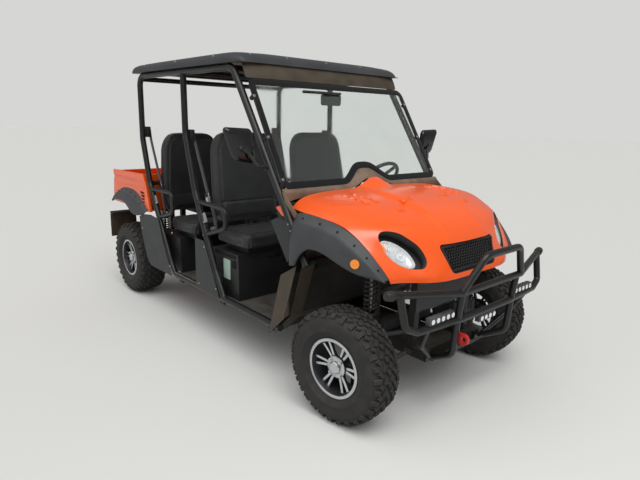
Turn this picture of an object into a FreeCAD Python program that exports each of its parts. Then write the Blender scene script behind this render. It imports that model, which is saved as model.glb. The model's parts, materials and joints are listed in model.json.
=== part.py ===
import FreeCAD, Part
import math
import os
import re
from FreeCAD import Placement, Rotation, Vector

# A two-row side by side utility vehicle with an open tube cage and a tipping bed.
# X points forwards, Y to the left and Z up. The origin is on the ground below the middle.
# Lengths are in millimetres and angles in degrees. Right-hand pieces are drawn and mirrored.

# Driving sizes: name, value, meaning
SIZES = [
    ("front_axle_x", 1290.0, "front axle, ahead of the middle of the vehicle"),
    ("wheelbase", 2714.0, "front axle to rear axle"),
    ("tyre_radius", 317.0, "outside of the tread lugs"),
    ("lug_depth", 15.0, "height of a tread lug"),
    ("lug_count", 14.0, "lugs round one shoulder of a tyre"),
    ("lug_length", 44.0, "length of a tread lug along the tread"),
    ("rim_radius", 152.0, "bead seat of the wheel"),
    ("rim_lip", 12.0, "height of the rim flange above the bead seat"),
    ("rim_wall", 8.0, "thickness of the rim's barrel"),
    ("spoke_width", 15.0, "width of a wheel spoke"),
    ("front_tyre_width", 206.0, "across the front tyre"),
    ("rear_tyre_width", 250.0, "across the rear tyre"),
    ("front_wheel_y", 659.0, "middle of the front tyre from the centre line"),
    ("rear_wheel_y", 622.0, "middle of the rear tyre from the centre line"),
    ("kingpin_y", 552.0, "steering axis of a front wheel from the centre line"),
    ("steer_rest", 6.5, "angle to the left at which the front wheels are parked"),
    ("steer_arm", 110.0, "kingpin to tie rod eye"),
    ("steer_level", 50.0, "underside of the steering arm above the axle"),
    ("upright_height", 200.0, "height of a steering knuckle"),
    ("seat_gap", 0.3, "gap between a piece and what carries it"),
    ("hub_radius", 46.0, "wheel hub"),
    ("hub_depth", 70.0, "length of a wheel hub"),
    ("spindle_radius", 20.0, "stub that a wheel turns on"),
    ("arm_tube", 14.0, "radius of a suspension arm's tube"),
    ("arm_spread", 145.0, "arm bush ahead of and behind the axle"),
    ("bush_radius", 16.0, "suspension bush"),
    ("coil_radius", 42.0, "outside of a coil spring"),
    ("carrier_y", 470.0, "middle of a rear wheel carrier from the centre line"),
    ("cage_y", 690.0, "centre of the side tubes from the centre line"),
    ("cage_tube", 22.0, "radius of a cage tube"),
    ("cross_tube", 19.0, "radius of a cross tube"),
    ("hip_tube", 16.0, "radius of a hip loop's tube"),
    ("sill_z", 362.0, "centre of the sill tube"),
    ("sill_front_x", 800.0, "front end of the sill tube"),
    ("cage_top", 1878.0, "centre of the roof rail tube"),
    ("roof_front_x", 410.0, "front edge of the roof"),
    ("roof_rear_x", -1180.0, "rear edge of the roof"),
    ("roof_half", 721.0, "half of the roof's width"),
    ("roof_height", 78.0, "underside of the roof to its crown"),
    ("roof_wall", 5.0, "thickness of the roof moulding"),
    ("roof_flange", 54.0, "width of the flange that lies on the cage"),
    ("floor_wall", 4.0, "thickness of the floor pan"),
    ("rail_y", 237.0, "centre of a frame rail from the centre line"),
    ("rail_side", 56.0, "side of a square frame rail"),
    ("rail_z", 300.0, "underside of the frame rails"),
    ("post_side", 40.0, "side of a frame post"),
    ("front_box_z", 840.0, "top of the front frame box"),
    ("skid_wall", 12.0, "thickness of the skid plate"),
    ("skid_half", 205.0, "half of the skid plate's width"),
    ("panel_wall", 4.0, "thickness of a body panel"),
    ("seat_half", 268.0, "half of a seat's width"),
    ("seat_y", 352.0, "middle of a seat from the centre line"),
    ("front_row_x", 318.0, "front edge of the front cushions"),
    ("row_pitch", 723.0, "front row to rear row"),
    ("cushion_depth", 400.0, "front to back of a seat cushion"),
    ("cushion_height", 105.0, "thickness of a seat cushion"),
    ("front_cushion_z", 726.0, "underside of the front cushions"),
    ("rear_cushion_z", 690.0, "underside of the rear cushions"),
    ("back_height", 650.0, "length of a seat back"),
    ("back_thick", 105.0, "thickness of a seat back"),
    ("front_back_lean", 10.0, "lean of a front seat back from the vertical"),
    ("rear_back_lean", 3.0, "lean of a rear seat back from the vertical"),
    ("front_box_top", 680.0, "top of the front seat box"),
    ("rear_box_top", 640.0, "top of the rear seat box"),
    ("box_wall", 8.0, "thickness of a seat box"),
    ("belt_width", 46.0, "width of the belt webbing"),
    ("screen_foot_x", 816.6, "lower edge of the windscreen"),
    ("screen_foot_z", 1192.0, "lower edge of the windscreen"),
    ("screen_height", 719.0, "length of the windscreen along its slope"),
    ("screen_tilt", 2.54, "angle by which the windscreen stands steeper than the pillars"),
    ("screen_half", 697.0, "half of the windscreen's width"),
    ("screen_wall", 6.0, "thickness of the windscreen"),
    ("screen_border", 42.0, "width of the dark border"),
    ("arch_height", 106.0, "height of the arch in the windscreen's lower edge"),
    ("dash_half", 620.0, "half of the dash's width"),
    ("dash_top", 1120.0, "top of the dash"),
    ("bed_floor_z", 800.0, "underside of the bed's floor"),
    ("bed_half", 712.0, "half of the bed's width"),
    ("bed_front_x", -1040.0, "front wall of the bed"),
    ("bed_rear_x", -1692.0, "rear end of the bed's floor"),
    ("bed_wall", 22.0, "thickness of a bed wall"),
    ("bed_height", 300.0, "height of the bed's front wall"),
    ("bed_hinge_x", -1680.0, "hinge of the tipping bed"),
    ("bed_hinge_z", 760.0, "hinge of the tipping bed"),
    ("bed_pin", 12.0, "radius of the bed's hinge pin"),
    ("gate_hinge_x", -1722.0, "hinge of the tailgate"),
    ("gate_hinge_z", 824.0, "hinge of the tailgate"),
    ("gate_pin", 8.0, "radius of a tailgate pin"),
    ("gate_gap", 6.0, "clearance beside the tailgate"),
    ("gate_wall", 34.0, "thickness of the tailgate"),
    ("bumper_tube", 19.0, "radius of a bumper tube"),
    ("bumper_post_y", 265.0, "bumper post from the centre line"),
    ("hitch_bore", 9.5, "radius of the hole in the tow plate"),
    ("hitch_wall", 8.0, "thickness of the tow plate"),
    ("tow_bore", 13.0, "radius of the hole in the front tow eye"),
    ("tow_wall", 16.0, "thickness of the front tow eye"),
    ("wheel_x", 560.0, "middle of the steering wheel"),
    ("wheel_z", 1150.0, "middle of the steering wheel"),
    ("wheel_rim_radius", 178.0, "radius of the steering wheel"),
    ("column_lean", 38.0, "slope of the steering column above the level"),
]

doc = FreeCAD.newDocument("side_by_side")
sheet = doc.addObject("Spreadsheet::Sheet", "Sizes")


def fill_sheet():
    for row, (name, value, meaning) in enumerate(SIZES, start=1):
        sheet.set("A%d" % row, name)
        sheet.set("B%d" % row, str(value))
        sheet.set("C%d" % row, meaning)
        sheet.setAlias("B%d" % row, name)
    doc.recompute()


fill_sheet()


def size(name):
    return float(sheet.get(name))


def bind(obj, prop, formula):
    """Ties a property to the sheet; the formula names sizes as they stand there."""
    names = {name for name, value, meaning in SIZES}
    full = re.sub(r"[a-z_]+", lambda word: "Sizes." + word.group(0)
                  if word.group(0) in names else word.group(0), formula)
    obj.setExpression(prop, full)


def bind_place(obj, corner):
    for axis, formula in zip("xyz", corner):
        bind(obj, "Placement.Base." + axis, formula)


NODES = {}


def node(label, obj):
    obj.Label = label
    NODES[label] = obj
    return obj


# Outlines

def corner_edges(points):
    """Edges of a closed outline; a third number at a point rounds that corner."""
    count = len(points)
    starts, ends, arcs = [], [], []
    for index, point in enumerate(points):
        here = Vector(point[0], point[1], 0)
        radius = point[2] if len(point) > 2 else 0
        back = Vector(*points[index - 1][:2], 0) - here
        ahead = Vector(*points[(index + 1) % count][:2], 0) - here
        if not radius:
            starts.append(here)
            ends.append(here)
            arcs.append(None)
            continue
        back.normalize()
        ahead.normalize()
        half = back.getAngle(ahead) / 2
        reach = radius / math.tan(half)
        first, last = here + back * reach, here + ahead * reach
        middle = (back + ahead).normalize()
        top = here + middle * (radius / math.sin(half) - radius)
        starts.append(first)
        ends.append(last)
        arcs.append(Part.Arc(first, top, last))
    edges = []
    for index in range(count):
        if arcs[index] is not None:
            edges.append(arcs[index])
        edges.append(Part.LineSegment(ends[index], starts[(index + 1) % count]))
    return edges


def strip(path, wall):
    """Outline of a sheet that follows a path, with its thickness to the left of the path."""
    points = [Vector(x, y, 0) for x, y in path]
    sides = [Vector(a.y - b.y, b.x - a.x, 0).normalize() for a, b in zip(points, points[1:])]
    shifts = [sides[0]]
    for one, two in zip(sides, sides[1:]):
        shifts.append((one + two) * (1 / (1 + one.dot(two))))
    shifts.append(sides[-1])
    far = [point + shift * wall for point, shift in zip(points, shifts)]
    return path + [(point.x, point.y) for point in reversed(far)]


def sketch_on(body, name, role, outlines, offset=None, circles=()):
    sketch = body.newObject("Sketcher::SketchObject", name)
    plane = [item for item in body.Origin.OriginFeatures if item.Role == role][0]
    sketch.AttachmentSupport = (plane, [""])
    sketch.MapMode = "FlatFace"
    if offset:
        bind(sketch, "AttachmentOffset.Base.z", offset)
    for outline in outlines:
        for edge in corner_edges(outline):
            sketch.addGeometry(edge, False)
    for x, y, radius in circles:
        sketch.addGeometry(Part.Circle(Vector(x, y, 0), Vector(0, 0, 1), radius), False)
    return sketch


def panel(label, role, outlines, length, offset=None, circles=()):
    """One padded outline as a body of its own. A side outline is padded towards -Y."""
    body = doc.addObject("PartDesign::Body", label)
    feature = body.newObject("PartDesign::Pad", label + "_pad")
    feature.Profile = sketch_on(body, label + "_sketch", role, outlines, offset, circles)
    bind(feature, "Length", length)
    return body


def side_panel(label, outline, length, offset, circles=()):
    return panel(label, "XZ_Plane", [outline], length, offset, circles)


def block(label, corner, sides):
    obj = doc.addObject("Part::Box", label)
    bind_place(obj, corner)
    for prop, formula in zip(("Length", "Width", "Height"), sides):
        bind(obj, prop, formula)
    return obj


def rod(label, start, axis, radius, length):
    """A cylinder from a start point along a direction."""
    obj = doc.addObject("Part::Cylinder", label)
    bind(obj, "Radius", radius)
    bind(obj, "Height", length)
    obj.Placement = Placement(start, Rotation(Vector(0, 0, 1), axis))
    return obj


def fused(label, parts):
    obj = doc.addObject("Part::MultiFuse", label)
    obj.Shapes = parts
    return obj


def cut(label, base, tool):
    obj = doc.addObject("Part::Cut", label)
    obj.Base = base
    obj.Tool = tool
    return obj


def mirrored(label, source):
    obj = doc.addObject("Part::Mirroring", label)
    obj.Source = source
    obj.Normal = Vector(0, 1, 0)
    obj.Base = Vector(0, 0, 0)
    return obj


def group(label, parts):
    obj = doc.addObject("Part::Compound", label)
    obj.Links = parts
    return obj


def both_sides(*sources):
    """Right-hand pieces followed by their mirror images."""
    return list(sources) + [mirrored(source.Label + "_mirror", source) for source in sources]


def pair(label, *sources):
    """Right-hand pieces and their mirror images in one node."""
    return node(label, group(label, both_sides(*sources)))


def made(label, shape):
    obj = doc.addObject("Part::Feature", label)
    obj.Shape = shape
    return obj


# Shapes

def tube_shape(points, radius, bend):
    """A round bar along straight runs that are joined by tangent elbows."""
    path = [Vector(*point) for point in points]
    runs = []
    at = path[0]
    for index in range(1, len(path) - 1):
        here = path[index]
        back = (path[index - 1] - here).normalize()
        ahead = (path[index + 1] - here).normalize()
        half = back.getAngle(ahead) / 2
        reach = bend / math.tan(half)
        first = here + back * reach
        runs.append(Part.makeCylinder(radius, (first - at).Length, at, -back))
        centre = here + (back + ahead).normalize() * (bend / math.sin(half))
        axis = back.cross(ahead).normalize()
        ring = Part.Face(Part.Wire(Part.Circle(first, back, radius).toShape()))
        runs.append(ring.revolve(centre, axis, -(180 - math.degrees(half * 2))))
        at = here + ahead * reach
    runs.append(Part.makeCylinder(radius, (path[-1] - at).Length, at, path[-1] - at))
    if len(runs) == 1:
        return runs[0]
    return runs[0].multiFuse(runs[1:]).removeSplitter()


def fused_shape(shapes):
    return shapes[0].multiFuse(shapes[1:]).removeSplitter()


def loft_shape(sections):
    """A ruled solid through closed sections, each with the same number of points."""
    wires = [Part.makePolygon([Vector(*p) for p in section + section[:1]])
             for section in sections]
    return Part.makeLoft(wires, True, True)


def bar_y(radius, x, z, start, end):
    """A round bar across the vehicle."""
    return Part.makeCylinder(radius, abs(end - start), Vector(x, min(start, end), z), Vector(0, 1, 0))


# Chassis

def make_frame():
    low, side, post = "rail_z", "rail_side", "post_side"
    inner = "-rail_y - rail_side / 2"
    outer = "-rail_y - rail_side / 2 + 16"
    reach = "cage_y - cage_tube - seat_gap"
    rear = "front_axle_x - wheelbase"
    beams = [
        # name, corner, sides
        ("rail", (rear + " + 96", inner, low), ("wheelbase + 154", side, side)),
        ("cross_front", ("front_axle_x + 190", "-rail_y", low), ("50", "rail_y", side)),
        ("cross_axle", ("front_axle_x - 190", "-rail_y", low), ("50", "rail_y", side)),
        ("cross_screen", ("640", "-(" + reach + ")", low), ("50", reach, side)),
        ("cross_seat", ("60", "-(" + reach + ")", low), ("50", reach, side)),
        ("cross_back", ("-560", "-(" + reach + ")", low), ("50", reach, side)),
        ("post_one", ("front_axle_x - arm_spread - post_side / 2", inner, low),
         (post, post, "front_box_z - rail_z")),
        ("post_two", ("front_axle_x + arm_spread - post_side / 2", inner, low),
         (post, post, "front_box_z - rail_z")),
        ("top_rail", ("front_axle_x - arm_spread - post_side / 2", inner, "front_box_z - post_side"),
         ("arm_spread * 2 + post_side", post, post)),
        ("top_tie", ("front_axle_x + arm_spread - post_side / 2", "-rail_y", "front_box_z - post_side"),
         (post, "rail_y", post)),
        ("top_tie_back", ("front_axle_x - arm_spread - post_side / 2", "-rail_y",
                          "front_box_z - post_side"), (post, "rail_y", post)),
        ("spring_seat", ("front_axle_x - 35", "-495", "front_box_z - post_side"),
         ("70", "495 - rail_y", post)),
        ("rear_post_one", (rear + " + 96", inner, low), (post, post, "444")),
        ("rear_post_two", (rear + " - 136", inner, low), (post, post, "444")),
        ("rear_bar", (rear + " - 136", inner, "380"), ("272", post, post)),
        ("rear_tie", (rear + " + 96", "-rail_y", low), (post, "rail_y", post)),
        ("rear_tie_back", (rear + " - 136", "-rail_y", low), (post, "rail_y", post)),
        ("bed_post", ("-1000", inner, low), ("50", side, "444")),
        ("bed_rail", ("bed_hinge_x + 40", inner, "bed_floor_z - seat_gap - rail_side"),
         ("-950 - bed_hinge_x - 40", side, side)),
        ("bed_tie", ("-1000", "-rail_y", "bed_floor_z - seat_gap - rail_side"),
         ("50", "rail_y", side)),
        ("rear_spring_seat", (rear + " + 30", "-445", "bed_floor_z - seat_gap - post_side"),
         ("70", "445 - rail_y", post)),
        ("hinge_arm", ("bed_hinge_x", inner, "bed_hinge_z - 22"), ("42", "40", "44")),
        ("flap_arm", ("-1765", outer, "654"), ("245", "24", "32")),
    ]
    beams = [block("frame_" + name, corner, sides) for name, corner, sides in beams]
    x, z = size("bed_hinge_x"), size("bed_hinge_z")
    start = -size("rail_y") - size("rail_side") / 2
    pins = made("frame_pins", fused_shape([
        bar_y(22, x, z, start, start + 40), bar_y(size("bed_pin"), x, z, start - 34, start + 20)]))
    flap_bar = made("frame_flap_bar", bar_y(16, -1765, 670, -740, 0))
    half = fused("frame_half", beams + [pins, flap_bar])
    node("chassis_frame", fused("chassis_frame", both_sides(half)))


def make_floor():
    level = size("rail_z") + size("rail_side") + size("seat_gap")
    path = [(-600, level), (720, level), (846, level + 92), (846, 700)]
    sheet_outline = strip(path, size("floor_wall"))
    half = "(cage_y - cage_tube - panel_wall)"
    node("floor_pan", side_panel("floor_pan", sheet_outline, half + " * 2", "-" + half))
    top = size("rail_z") - size("seat_gap")
    path = [(-560, top), (1545, top), (1604, top + 56)]
    skid = strip(path[::-1], size("skid_wall"))
    node("skid_plate", side_panel("skid_plate", skid, "skid_half * 2", "-skid_half"))


# Cage

# Lower and upper end of the front pillar's centre line: x, z, and x at the roof rail
PILLAR_FOOT = (1030, 797.5)
PILLAR_TOP_X = 300


def pillar_slope():
    """How far the front pillar goes back for each unit that it rises."""
    return (PILLAR_FOOT[0] - PILLAR_TOP_X) / (size("cage_top") - PILLAR_FOOT[1])


def pillar_x(z):
    return PILLAR_FOOT[0] - (z - PILLAR_FOOT[1]) * pillar_slope()


def make_cage_side(label):
    y, radius, top = -size("cage_y"), size("cage_tube"), size("cage_top")
    sill, front = size("sill_z"), size("sill_front_x")
    hip = size("hip_tube")
    loop = [PILLAR_FOOT, (PILLAR_TOP_X, top), (-1080, top), (-1078, 1388), (-977, 1037),
            (-640, 440), (-575, sill), (front, sill)]
    middle = [(-343, top), (-335, 1463), (-215, 1063), (47, 539), (160, sill), (330, sill)]
    rear_hip = [(-950, 996), (-585, 1001), (-580, 850), (-800, 785)]
    front_hip = [(-177, 995), (190, 992), (192, 860), (-100, 765)]
    tubes = [(loop, radius, 80), (middle, radius, 60),
             (rear_hip, hip, 50), (front_hip, hip, 50)]
    shapes = [tube_shape([(x, y, z) for x, z in path], thick, bend)
              for path, thick, bend in tubes]
    return made(label, fused_shape(shapes))


def make_cage():
    pair("cage_sides", make_cage_side("cage_side"))
    radius = size("cross_tube")
    half = size("cage_y") - size("cage_tube") - size("seat_gap")
    bars = [
        # x, z
        (296, size("cage_top") - 8), (-343, size("cage_top") - 2),
        (-1057, size("cage_top") - 23), (800, size("dash_top") + radius + size("seat_gap")),
    ]
    for row in back_table():
        bars.append((row["bar_x"], row["bar_z"]))
    shapes = [bar_y(radius, x, z, -half, half) for x, z in bars]
    level = size("front_box_z") - size("post_side") / 2
    dash_x = 1015
    rail_end = size("front_axle_x") - size("arm_spread") - size("post_side") / 2 - size("seat_gap")
    braces = [Part.makeCylinder(16, rail_end - dash_x, Vector(dash_x, y, level), Vector(1, 0, 0))
              for y in (-245, 245)]
    shapes.append(fused_shape([bar_y(radius, dash_x, level, -half, half)] + braces))
    node("cage_cross_bars", made("cage_cross_bars", Part.makeCompound(shapes)))


def roof_section(x, drop, half):
    low = size("cage_top") + size("cage_tube") + size("seat_gap")
    wall, flange = size("roof_wall"), size("roof_flange")
    top = low + size("roof_height") - drop
    side = low + 6 + (top - low - 6) * 0.5
    outer = [(half - 150, top), (half - 40, top - 10), (half - 6, side), (half, low)]
    inner = [(half - flange, low), (half - flange, low + wall), (half - wall - 3, low + wall),
             (half - 6 - wall, side - 2), (half - 42, top - 10 - wall), (half - 150, top - wall)]
    left = outer + inner
    right = [(-y, z) for y, z in reversed(left)]
    return [(x, y, z) for y, z in left + right]


def make_roof():
    front, rear, half = size("roof_front_x"), size("roof_rear_x"), size("roof_half")
    stations = [
        # x, drop of the crown, half width
        (front, 46, half - 20), (front - 90, 18, half), (front - 400, 0, half),
        (rear + 300, 4, half), (rear + 40, 14, half), (rear, 40, half - 10),
    ]
    sections = [roof_section(x, drop, wide) for x, drop, wide in stations]
    node("roof", made("roof", loft_shape(sections)))


# Windscreen

def screen_place():
    lean = math.atan(pillar_slope()) - math.radians(size("screen_tilt"))
    up = Vector(-math.sin(lean), 0, math.cos(lean))
    across = Vector(0, 1, 0)
    foot = Vector(size("screen_foot_x"), 0, size("screen_foot_z"))
    return Placement(foot, Rotation(across, up, across.cross(up), "ZXY"))


def screen_clamp(height):
    """A boss from the back of the windscreen to the front pillar."""
    place = screen_place()
    start = place.multVec(Vector(-size("cage_y") + 5, height, 1))
    inwards = place.Rotation.multVec(Vector(0, 0, -1))
    low = Vector(pillar_x(start.z), start.y, start.z)
    pillar = (low - Vector(pillar_x(0), start.y, 0)).normalize()
    reach = (start - low).cross(pillar).Length / inwards.cross(pillar).Length
    return made("screen_clamp_%d" % height, Part.makeCylinder(
        10, reach - size("cage_tube") / inwards.cross(pillar).Length - 2 * size("seat_gap"),
        start, inwards))


def make_windscreen():
    half, tall, edge = size("screen_half"), size("screen_height"), size("screen_border")
    arch = size("arch_height")
    outer = [(-half, 0, 18), (-210, 0, 30), (-90, arch, 60), (90, arch, 60), (210, 0, 30),
             (half, 0, 18), (half - 10, tall, 40), (-half + 10, tall, 40)]
    inner = [(-half + edge, edge, 12), (-232, edge, 30), (-104, edge + arch, 60),
             (104, edge + arch, 60), (232, edge, 30), (half - edge, edge, 12),
             (half - 10 - edge, tall - edge, 20), (-half + 10 + edge, tall - edge, 20)]
    frame = panel("screen_frame", "XY_Plane", [outer, inner], "screen_wall")
    frame.Placement = screen_place()
    clamps = [screen_clamp(height) for height in (60, 330, 600)]
    node("windscreen_border", fused("windscreen_border", [frame] + both_sides(*clamps)))
    glass = panel("windscreen_glass", "XY_Plane", [inner], "screen_wall - 2", "1")
    glass.Placement = screen_place()
    node("windscreen_glass", glass)
    wiper = panel("wiper", "XY_Plane", [[(-296, 640), (30, 640), (30, 652), (-296, 652)]],
                  "14", "screen_wall - 1 + seat_gap")
    wiper.Placement = screen_place()
    node("wiper", wiper)


def make_cowl():
    """A strip from the windscreen's foot to the hood, raised over the arch, with side ears."""
    wall = size("panel_wall")
    place = screen_place()
    arch = size("arch_height") - 6
    stations = [
        # distance from the centre line, height on the screen, front edge x and z
        (702, -4, 836, 1176), (632, -4, 853, 1166), (214, -4, 858, 1180),
        (92, arch, 846, 1216), (0, arch, 838, 1236),
    ]
    table = [(-y, rise, x, z) for y, rise, x, z in stations]
    table += [(y, rise, x, z) for y, rise, x, z in reversed(stations[:-1])]
    sections = []
    for y, rise, x, z in table:
        rear = place.multVec(Vector(y, rise, 1))
        sections.append([(rear.x, y, rear.z), (x, y, z), (x - 2, y, z - wall),
                         (rear.x - 2, y, rear.z - wall)])
    deck = made("cowl_deck", loft_shape(sections))
    ear = side_panel("cowl_ear", [(812, 1184), (840, 1172), (902, 1118), (981, 1051), (939, 1045),
                                  (842, 1126)], "panel_wall", "698")
    node("cowl", fused("cowl", [deck] + both_sides(ear)))


# Hood and nose

# Fall of the hood from its middle (0) to its edge (1) at shares of its half width
SHARES = (0, 0.27, 0.31, 0.5, 0.68, 0.83, 0.93, 1)
FALLS = {
    "rear": (0, 0, 0, 0.03, 0.1, 0.27, 0.6, 1),
    "mid": (0, 0.02, 0.03, 0.08, 0.25, 0.5, 0.78, 1),
    "cheek": (0, 0.05, 0.08, 0.25, 0.5, 0.75, 0.92, 1),
    "lip": (0, 0, 0.01, 0.05, 0.3, 0.75, 0.93, 1),
}
# Share of the wall by which the inner face steps down, and inwards, at each of the shares
STEP_DOWN = (1.2, 1.2, 1.2, 1.2, 1.2, 1.1, 0.7, 0)
STEP_IN = (0, 0, 0, 0, 0, 0.5, 0.9, 1.2)


def hood_section(middle, edge, half, kind, lift):
    """One slanted section from the middle of the hood to both edges, with its inner face."""
    wall = size("panel_wall")
    across = Vector(edge[0] - middle[0], 0, edge[1] - middle[1])
    down = Vector(across).normalize()
    start = Vector(middle[0], 0, middle[1])
    outer, inner = [], []
    for index, share in enumerate(SHARES):
        point = start + across * FALLS[kind][index]
        point.y = share * half
        if index < 2:
            point = point - down * lift
        outer.append(point)
        shift = down * STEP_DOWN[index] * wall + Vector(0, -STEP_IN[index] * wall, 0)
        inner.append(point + shift)
    right_outer = [Vector(p.x, -p.y, p.z) for p in outer[1:]]
    right_inner = [Vector(p.x, -p.y, p.z) for p in inner[1:]]
    loop = right_outer[::-1] + outer + inner[::-1] + right_inner
    return [(p.x, p.y, p.z) for p in loop]


def lamp_place():
    """Plane of the right-hand headlamp: across, up and outwards."""
    across = Vector(0.299, 0.954, 0).normalize()
    out = Vector(0.775, -0.243, 0.583)
    up = out.cross(across).normalize()
    return Placement(Vector(1382, -559, 1021), Rotation(across, up, across.cross(up), "ZXY"))


LAMP_POCKET = [(0, 8, 14), (105, 4, 90), (250, -105, 80), (266, -212, 45), (150, -206, 60),
               (52, -140, 70)]
LAMP_LENS = [(20, -30, 12), (92, -44, 70), (172, -112, 70), (200, -196, 26), (112, -180, 50),
             (56, -110, 70)]
GRILLE = {"top_z": 963, "bottom_z": 814, "top_half": 251, "bottom_half": 206, "top_x": 1576,
          "bottom_x": 1631, "rows": 7, "columns": 13, "bar": 5}


def make_hood():
    stations = [
        # middle x and z, edge x and z, half width, kind of fall, lift of the raised middle
        ((860, 1175), (860, 1124), 655, "rear", 0),
        ((1100, 1165), (1080, 1090), 694, "rear", 9),
        ((1320, 1125), (1259, 1066), 668, "mid", 9),
        ((1500, 1060), (1359, 1007), 638, "mid", 8),
        ((1585, 985), (1425, 944), 613, "cheek", 2),
        ((1625, 900), (1479, 879), 590, "cheek", 0),
        ((1645, 815), (1519, 826), 571, "lip", 0),
        ((1655, 790), (1520, 800), 560, "lip", 0),
    ]
    shell = loft_shape([hood_section(*station) for station in stations])
    humps = []
    for x, half, low, high in ((861, 165, 1171, 1230), (930, 120, 1169, 1206), (1010, 50, 1167, 1176)):
        humps.append([(x, y * half, low + (high - low) * rise) for y, rise in
                      ((-1, 0), (-0.5, 0.45), (-0.14, 1), (0.14, 1), (0.5, 0.45), (1, 0))])
    foot = size("front_box_z") + size("seat_gap")
    stands = [Part.makeCylinder(12, 1153 - foot, Vector(size("front_axle_x") - size("arm_spread"),
                                                        y, foot)) for y in (-245, 245)]
    shell = made("hood_shell", shell.multiFuse([loft_shape(humps)] + stands))
    window = panel("grille_window", "YZ_Plane", [grille_outline()], "300", "1500")
    pocket = panel("lamp_window", "XY_Plane", [LAMP_POCKET], "160", "-80")
    pocket.Placement = lamp_place()
    tools = fused("hood_windows", [window] + both_sides(pocket))
    jamb = side_panel("door_jamb", [(709, 1078), (772, 1100), (868, 1100), (891, 1042), (772, 1035)],
                      "panel_wall", "cage_y - cage_tube - seat_gap - panel_wall")
    node("hood", group("hood", [cut("hood_panel", shell, tools)] + both_sides(jamb)))


def grille_outline():
    top, low = GRILLE["top_half"], GRILLE["bottom_half"]
    return [(-low, GRILLE["bottom_z"], 24), (low, GRILLE["bottom_z"], 24),
            (top, GRILLE["top_z"], 24), (-top, GRILLE["top_z"], 24)]


def make_grille():
    """A slanted plate with rows of windows between its bars."""
    low = Vector(GRILLE["bottom_x"], 0, GRILLE["bottom_z"])
    high = Vector(GRILLE["top_x"], 0, GRILLE["top_z"])
    tall = (high - low).Length
    up = (high - low).normalize()
    rim, margin = 10, 4
    bottom, top = GRILLE["bottom_half"] - 1.5, GRILLE["top_half"] - 1.5
    outer = [(-bottom, margin, 24), (bottom, margin, 24), (top, tall - margin, 24),
             (-top, tall - margin, 24)]
    rows, columns, bar = GRILLE["rows"], GRILLE["columns"], GRILLE["bar"]
    first, last = margin + rim, tall - margin - rim
    step = (last - first + bar) / rows
    holes = []
    for row in range(rows):
        z0 = first + row * step
        z1 = z0 + step - bar
        half = bottom + (top - bottom) * z0 / tall - rim - 6
        width = (2 * half + bar) / columns
        for column in range(columns):
            y0 = -half + column * width
            y1 = y0 + width - bar
            holes.append([(y0, z0), (y1, z0), (y1, z1), (y0, z1)])
    plate = panel("grille", "XY_Plane", [outer] + holes, "6", "-6")
    across = Vector(0, 1, 0)
    plate.Placement = Placement(low, Rotation(across, up, across.cross(up), "ZXY"))
    node("grille", plate)


def make_nose():
    face = size("front_axle_x") + size("arm_spread") + size("post_side") / 2 + size("seat_gap")
    path = [(1640, 789.7), (face, 789.7), (face, 560)]
    outline = strip(path, size("panel_wall"))
    half = "(rail_y + rail_side / 2 - 3)"
    node("nose_panel", side_panel("nose_panel", outline, half + " * 2", "-" + half))


def shrunk(outline, by, tighter):
    """The outline drawn in towards its middle, with tighter corners."""
    middle = Vector(140, -110, 0)
    points = []
    for x, y, radius in outline:
        spoke = Vector(x, y, 0) - middle
        point = middle + spoke * (1 - by / spoke.Length)
        points.append((point.x, point.y, radius - tighter))
    return points


def make_headlamps():
    """Open bowls with a lens in each, on brackets that stand on the front frame posts."""
    bowl = panel("lamp_bowl", "XY_Plane", [shrunk(LAMP_POCKET, 1.5, 0)], "34", "-38")
    hollow = panel("lamp_hollow", "XY_Plane", [shrunk(LAMP_POCKET, 7, 4)], "40", "-34")
    lens = panel("lamp_lens", "XY_Plane", [LAMP_LENS], "26", "-35")
    for body in (bowl, hollow, lens):
        body.Placement = lamp_place()
    level = "front_box_z + seat_gap"
    foot = block("lamp_foot", ("1418", "-440", level), ("52", "205", "8"))
    riser = block("lamp_riser", ("1448", "-440", level), ("20", "40", "78"))
    pair("headlamps", fused("headlamp", [cut("lamp_shell", bowl, hollow), lens, foot, riser]))


# Flares

FRONT_FLARE = [
    # inner seam x, y, z, then outer arch x, y, z
    (926, -715.2, 790, 985, -750, 802), (917, -715.2, 880, 996, -750, 832),
    (925, -715.2, 975, 1028, -750, 872), (975, -709.7, 1045, 1062, -748, 902),
    (1030, -699.7, 1086, 1103, -745, 919), (1146, -693.7, 1086, 1188, -735, 914),
    (1259, -667.7, 1064, 1277, -715, 872), (1359, -637.7, 1005, 1357, -690, 840),
    (1425, -612.7, 942, 1412, -668, 827), (1479, -589.7, 877, 1478, -640, 826),
    (1519, -570.7, 824, 1520, -612, 812),
]
REAR_FLARE = [
    # seam x, stand-off from the bed, z, then outer arch x, stand-off from the bed, z
    (-1716, 0.3, 816, -1700, 40, 800), (-1650, 0.3, 872, -1640, 46, 826),
    (-1566, 0.3, 927, -1560, 48, 832), (-1490, 0.3, 952, -1490, 48, 837),
    (-1380, 0.3, 956, -1400, 48, 830), (-1277, 0.3, 955, -1330, 48, 795),
    (-1180, 0.3, 930, -1262, 46, 748), (-1090, 0.3, 880, -1190, 40, 738),
    (-992, 0.3, 806, -1040, 23, 768),
]


def flare_shape(stations, lip):
    """A wheel arch flare: a step out from the seam, a side wall and a lip turned inwards."""
    wall = size("panel_wall")
    inwards = Vector(0, 1, 0)
    sections = []
    for station in stations:
        seam, arch = Vector(*station[:3]), Vector(*station[3:])
        fall = arch - seam
        fall.y = 0
        down = Vector(fall).normalize()
        step = seam + fall * 0.3
        step.y = arch.y
        points = [seam, step, arch, arch + inwards * lip, arch + inwards * lip - down * wall,
                  arch + inwards * wall - down * wall, step + inwards * wall + down * wall * 0.4,
                  seam + down * wall * 1.5]
        sections.append([(p.x, p.y, p.z) for p in points])
    return loft_shape(sections)


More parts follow.
